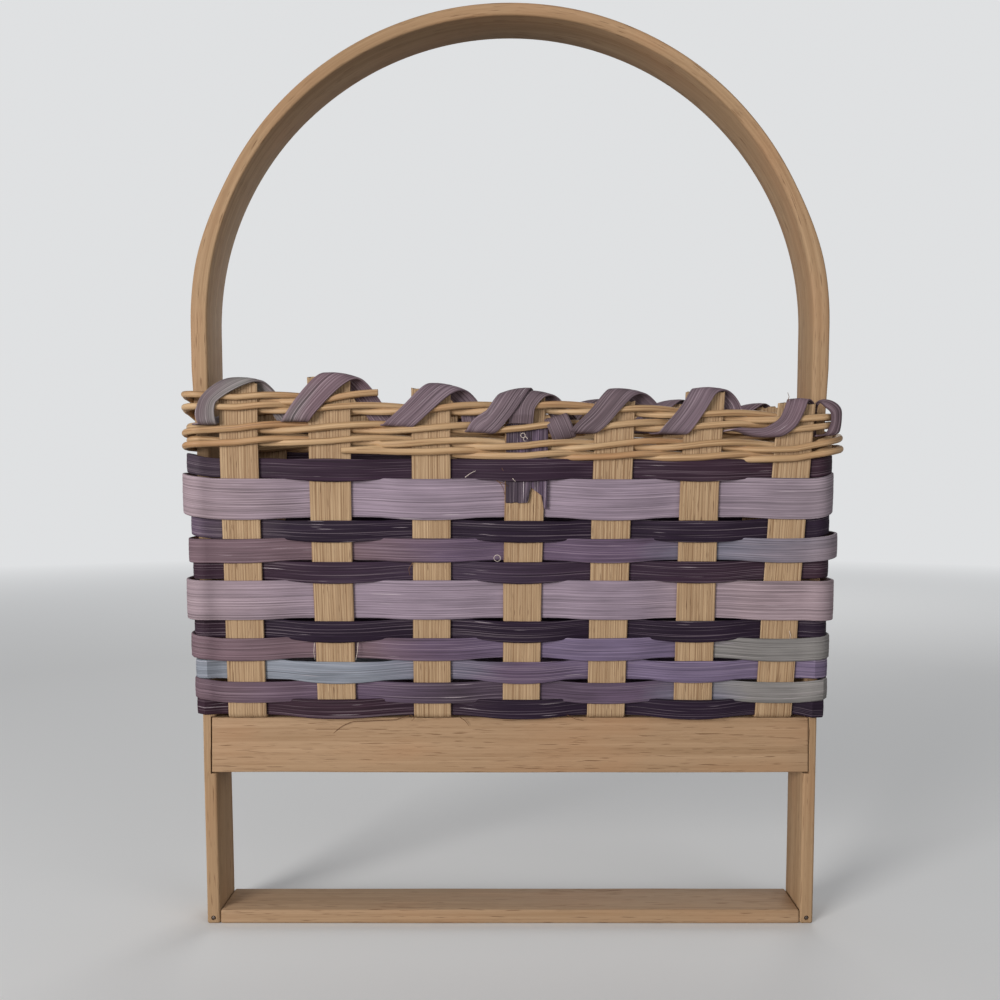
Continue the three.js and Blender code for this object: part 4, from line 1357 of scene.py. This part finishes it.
# %% The lashing
# Where each loop of the front lies, in mm from its stake, at the shares of a lap in loop_shares, and its
# width there as a share of the strip's
loop_shares = (0.0, 0.1, 0.2, 0.33, 0.5, 0.66)
front_loops = [
    (-10.5, -11.4, -11.8, -10.4, 5.0, 12.0),
    (-13.8, -12.0, -9.0, -3.2, 5.4, 13.5),
    (-14.5, -12.0, -7.5, -1.5, 6.5, 15.5),
    (-18.6, -17.0, -13.2, -8.8, -3.4, 1.0),
    (-14.0, -12.5, -7.2, -2.4, 4.0, 14.5),
    (-14.0, -11.8, -8.0, -3.8, 0.6, 11.2),
    (-24.5, -11.2, -4.2, -2.0, 0.4, 6.5),
]
front_widths = [0.7, 1, 1, 1.04, 1, 1, 0.84]
back_loop = (-13.0, -11.8, -8.5, -3.0, 5.0, 13.5)
leg_loop = (3.4, 4.8, 6.0, 6.0, 2.8, 3.2)
leg_width = 0.48


def lashing_path(plan):
    """Knots of the strip: how many laps it has made and where it is along the wall."""
    ups = plan.uprights
    count = len(ups)
    start = ups[tail_stake - 1]["along"]
    shares = [-0.84, -0.66, -0.5, -0.34]
    places = [start + offset * mm for offset in (-1.8, -1.0, 4.0, 13.0)]
    widths = [0.98] * 4
    for turn in range(count):
        index = (tail_stake + turn) % count
        laps = plan.lap if index < tail_stake else 0
        up = ups[index]
        if up["side"] == "leg":
            before = ups[index - 1]
            centre, loop, width = before["along"] + before["half_width"], leg_loop, leg_width
        else:
            centre, loop, width = up["along"], back_loop, 1
        if up["side"] == "front":
            loop, width = front_loops[up["number"] - 1], front_widths[up["number"] - 1]
        keep = slice(0, 5) if turn == count - 1 else slice(0, 6)
        shares += [turn + share for share in loop_shares[keep]]
        places += [centre + laps + offset * mm for offset in loop[keep]]
        widths += [width] * len(loop[keep])
    shares.append(count - 0.4)
    places.append(places[-1] + 3 * mm)
    widths.append(1)
    return np.array(shares), np.array(places), np.array(widths)


def make_lashing():
    plan = Plan(rows_end + 20 * mm)
    count = len(plan.uprights)
    shares, places, widths = lashing_path(plan)
    phase = np.arange(shares[0], shares[-1], 0.011)
    place = np.interp(phase, shares, places)
    window = np.hanning(19)
    padded = np.concatenate([np.full(9, place[0]), place, np.full(9, place[-1])])
    place = np.convolve(padded, window / window.sum(), "valid")
    travel = phase * girth
    way = np.stack([np.gradient(place), np.gradient(travel)], axis=1)
    step = np.linalg.norm(way, axis=1)
    way /= step[:, None]
    length = np.cumsum(step)
    section = flat_section(lash_width, lash_thickness, 0.5 * mm)
    narrow = np.interp(phase, shares, widths) * (1 + 0.05 * uneven(length / (20 * mm), 2, 300))
    across = section[None, :, 0] * narrow[:, None]
    through = np.broadcast_to(section[None, :, 1], across.shape)
    # The first end comes from under a twined reed, and the last loop lies over it
    over = 1.1 * mm * np.clip((phase - (count - 0.85)) / 0.2, 0, 1)
    over = over - 1.8 * mm * np.clip((-0.76 - phase) / 0.08, 0, 1)
    lift = fibre_relief(length[:, None], section[None, :, 0], through, 310, 0.04 * mm)
    along = place[:, None] + across * way[:, 1, None]
    round_it = travel[:, None] - across * way[:, 0, None]
    rings = on_rim(plan, along, round_it, through + lift + over[:, None])
    lies = lie_in_strip(length[:, None], across, through)
    return roll_reed("lashing_reed", rings, lies)


knot_radius = 4.2 * mm
knot_lean = 0.42
knot_place = 19.4 * mm


def make_knot():
    """A short piece of the strip that is folded over the upper twining beside the middle stake."""
    plan = Plan(rows_end + 12 * mm)
    turn = np.radians(np.linspace(118, -118, 40))
    section = flat_section(8.8 * mm, lash_thickness, 0.5 * mm)
    across = np.broadcast_to(section[None, :, 0], (len(turn), len(section)))
    through = np.broadcast_to(section[None, :, 1], across.shape)
    radius = knot_radius + through
    out = 0.2 * mm + (radius - 0.5 * mm) * np.cos(turn)[:, None]
    rise = radius * np.sin(turn)[:, None]
    along = corner_start + knot_place + across - rise * knot_lean
    rings = plan.at(along, out, rows_end + 12.0 * mm + rise + across * knot_lean * 0.7)
    lies = lie_in_strip((turn * knot_radius)[:, None], across, through)
    return roll_reed("lashing_knot", rings, lies)


lashing = join(make_lashing(), make_knot())
dress(lashing, lash_reed, "lash_reed", "rim_lashing")
print("points in the lashing:", len(lashing.data.vertices))

# %% [markdown]
# ## The torn tail
#
# The strip's first end lies on the middle stake, under the twining and the top row. Below them it was torn
# off: straight on the left, and split up to a point on the right.

# %% The tail
def tail_strip(name, left, right, top, tears, seed):
    """A thin strip on the middle stake from a height down, its ends at tears: pairs of share and height."""
    width = (right - left) * mm
    section = flat_section(width, tail_thickness, 0.35 * mm)
    steps = 40
    heights = np.linspace(top, tail_low.z, steps)
    along = top - heights
    across = np.broadcast_to(section[None, :, 0], (steps, len(section)))
    through = np.broadcast_to(section[None, :, 1], across.shape)
    share = section[:, 0] / width + 0.5
    tear = np.interp(share, *zip(*tears)) * mm
    tear = tear + 0.22 * mm * uneven(section[:, 0] / (0.6 * mm) + 30, 2, seed)
    foot = np.clip((along / along[-1] - 0.6) / 0.4, 0, 1)[:, None]
    z = heights[:, None] + tear[None, :] * foot
    lifted = 0.5 * mm * foot ** 3 * (0.4 + uneven(section[None, :, 0] / (4 * mm) + 30, 1, seed + 1))
    off = np.vectorize(wall_half)(z) + stake_thickness / 2 + 0.1 * mm + tail_thickness / 2 + through + lifted
    x = np.vectorize(lambda h: stake_x(tail_stake, h))(z) + (left + right) / 2 * mm + across
    rings = np.stack([x, -off, z], axis=2)
    lies = lie_in_strip(along[:, None] + left, across, through)
    return roll_reed(name, rings, lies)


tail_drift = [(-20, "slate"), (5, "slate"), (10, "mauve"), (20, "slate")]
tail_finish = dyed_reed("tail_reed", tail_drift, contrast=1.5, pale_and_highlight=1.0)
left_strip = tail_strip("lashing_tail", -7.2, 2.6, 199.6 * mm, [(0, 0.1), (0.9, 0), (0.94, 4), (1, 6)], 330)
right_strip = tail_strip("tail_right", 2.7, 9.0, 199 * mm, [(0, 6), (0.75, 2.2), (0.8, -2), (1, -2.5)], 340)
dress(join(left_strip, right_strip), tail_finish, "lash_reed", "lash_tail")
print("tail made")

# %% [markdown]
# ## Loose fibres
#
# Reed frays where it is bent and cut. A few pale and brown fibres stand off the weave. Each is a thin tube
# through a handful of points, and both of its ends touch the reed or the rail that it split from.

# %% Fibres
def fibre(name, points, thickness):
    """A thin round fibre through points of x, how far it stands off the wall's middle, and z, all in mm."""
    points = np.array(points, float)
    knots = np.arange(len(points))
    steps = np.linspace(0, len(points) - 1, 8 * len(points))
    eased = np.stack([np.interp(steps, knots, points[:, axis]) for axis in range(3)], axis=1)
    for _ in range(3):
        eased[1:-1] = (eased[:-2] + 2 * eased[1:-1] + eased[2:]) / 4
    x, off, z = (eased * mm).T
    line = np.stack([x, -(np.vectorize(wall_half)(z) + off), z], axis=1)
    run = np.gradient(line, axis=0)
    run /= np.linalg.norm(run, axis=1)[:, None]
    side = np.cross(run, (0, 1, 0))
    side /= np.linalg.norm(side, axis=1)[:, None]
    up = np.cross(run, side)
    taper = np.linspace(1, 0.5, len(line))[:, None]
    section = round_section(thickness / 2 * mm, 6)
    across, through = section[None, :, 0] * taper, section[None, :, 1] * taper
    rings = line[:, None] + side[:, None] * across[:, :, None] + up[:, None] * through[:, :, None]
    return roll_reed(name, rings, lie_in_strip((steps * 4 * mm)[:, None], across, through))


def curl(x, off, z, size, turns=1.1):
    angles = np.linspace(0, 2 * math.pi * turns, 12)
    return [(x + size * math.cos(a), off + 0.25 * size * math.sin(a / 2), z + size * math.sin(a))
            for a in angles]


pale_fibres = [
    curl(5.0, 3.0, 195.0, 0.9), curl(5.9, 3.0, 193.6, 0.8, 0.8), curl(-5.0, 1.9, 147.4, 1.3),
    [(-17.4, 2.0, 178.9), (-15.4, 2.6, 180.4), (-13.3, 2.4, 181.4)],
    [(0.8, 2.4, 178.8), (1.4, 2.9, 178.0), (2.2, 2.6, 177.2)],
    [(-60.0, 0.9, 113.8), (-60.3, 1.4, 110.0), (-61.0, 0.9, 106.8)],
    [(-77.2, 0.9, 113.8), (-77.5, 1.4, 110.0), (-77.2, 0.9, 106.8)],
    [(110.2, 0.9, 118.4), (110.6, 1.3, 116.8), (110.4, 0.9, 115.0)],
    [(16.0, 0.4, 101.4), (17.4, 1.4, 103.6), (16.4, 0.8, 106.2)],
]
brown_fibres = [
    [(-5.4, 2.0, 177.9), (-3.4, 2.7, 176.3), (-2.5, 2.2, 174.4), (-2.0, 0.8, 172.2)],
    [(-4.4, 2.0, 177.2), (-2.4, 2.4, 176.6), (-0.6, 1.4, 175.4)],
    [(-3.9, 2.2, 184.2), (-2.9, 2.7, 182.0), (-1.7, 2.3, 179.9)],
    [(-38.0, 1.2, 145.6), (-39.6, 1.9, 143.2), (-39.2, 1.2, 140.6)],
    [(-40.2, 0.4, 84.0), (-46.0, -0.9, 82.0), (-55.0, -1.0, 81.6), (-63.4, -1.0, 81.2), (-67.6, -1.1, 79.2),
     (-70.8, -1.2, 76.4)],
    [(-39.5, 1.2, 84.6), (-38.0, 1.7, 83.2), (-39.2, 0.6, 82.0)],
    [(-20.0, 0.6, 83.4), (-18.0, -0.6, 81.8), (-16.4, -0.8, 79.6)],
    [(22.8, 0.8, 84.4), (26.0, 0.2, 82.6), (29.4, -0.6, 81.8)],
    [(106.2, 3.6, 208.0), (106.5, 4.0, 209.6), (105.9, 4.0, 211.2)],
]


def fibre_finish(name, deep, light):
    finish = Finish(name, 0.7, specular=0.2)
    spots = finish.grain(finish.place(), (900, 900, 900))
    return finish.wear(finish.mix(spots, deep, light), 0.6 + spots * 0.2)


brown = fibre_finish("brown_fibre", (0.09, 0.04, 0.02), (0.2, 0.1, 0.05))
pale = fibre_finish("pale_fibre", (0.5, 0.4, 0.33), (0.75, 0.67, 0.62))
dress(join(*[fibre("pale_fibres", points, 0.28) for points in pale_fibres]), pale, "stake_reed")
dress(join(*[fibre("brown_fibres", points, 0.3) for points in brown_fibres]), brown, "stake_reed")
print("loose fibres:", len(pale_fibres) + len(brown_fibres))

# %% [markdown]
# ## Floor, backdrop and light
#
# A plain pale floor that fades into a backdrop of the same tone, one broad soft lamp from the upper left in
# front and a weak one from the right. The level is plain: a face that looks at the camera shows about the
# colour that its finish has.

# %% The stage
backdrop = (0.74, 0.75, 0.76)


def make_floor():
    bpy.ops.mesh.primitive_circle_add(vertices=64, radius=6, fill_type="NGON", location=(0, 0, 0))
    floor = bpy.context.object
    floor.name = "floor"
    finish = Finish("floor", 0.9, specular=0.2)
    tree = finish.tree
    seen = finish.node("ShaderNodeLightPath", output="Is Camera Ray")
    colour = finish.mix(seen, (0.3, 0.285, 0.27), (0.86, 0.865, 0.87))
    tree.links.new(colour.socket, finish.shader.inputs["Base Color"])
    far = finish.node("ShaderNodeVectorMath", {"operation": "LENGTH"}, {0: finish.place()}, output="Value")
    glow = finish.node("ShaderNodeEmission", {}, {"Color": (*backdrop, 1), "Strength": 1.0})
    blend = finish.node("ShaderNodeMixShader", {}, {0: far.above(0.7, 2.2), 2: glow})
    tree.links.new(finish.shader.outputs[0], blend.socket.node.inputs[1])
    output = tree.nodes["Material Output"]
    tree.links.new(blend.socket, output.inputs["Surface"])
    floor.data.materials.append(finish.material)
    floor.select_set(False)


def lamp(name, place, aim, size, power, colour):
    data = bpy.data.lights.new(name, "AREA")
    data.shape = "DISK"
    data.size = size
    data.energy = power
    data.color = colour
    light = bpy.data.objects.new(name, data)
    light.location = place
    light.rotation_euler = (Vector(aim) - Vector(place)).to_track_quat("-Z", "Y").to_euler()
    bpy.context.scene.collection.objects.link(light)


def make_world(strength):
    world = bpy.data.worlds.new("world")
    bpy.context.scene.world = world
    world.use_nodes = True
    tree = world.node_tree
    soft = tree.nodes["Background"]
    soft.inputs["Color"].default_value = (0.95, 0.97, 1.0, 1)
    soft.inputs["Strength"].default_value = strength
    pale = tree.nodes.new("ShaderNodeBackground")
    pale.inputs["Color"].default_value = (*backdrop, 1)
    rays = tree.nodes.new("ShaderNodeLightPath")
    mix = tree.nodes.new("ShaderNodeMixShader")
    tree.links.new(rays.outputs["Is Camera Ray"], mix.inputs["Fac"])
    tree.links.new(soft.outputs[0], mix.inputs[1])
    tree.links.new(pale.outputs[0], mix.inputs[2])
    tree.links.new(mix.outputs[0], tree.nodes["World Output"].inputs["Surface"])


make_floor()
make_world(0.28)
heart = (0, 0, 170 * mm)
lamp("key", (-0.95, -1.2, 0.4), heart, 0.7, 21, (1.0, 0.98, 0.95))
lamp("fill", (1.0, -1.0, 0.35), heart, 1.0, 4, (1.0, 0.98, 0.95))
lamp("rear", (0.3, 1.3, 0.9), heart, 1.0, 5, (1.0, 0.99, 0.97))
print("stage set")

# %% The end
bpy.context.view_layer.update()
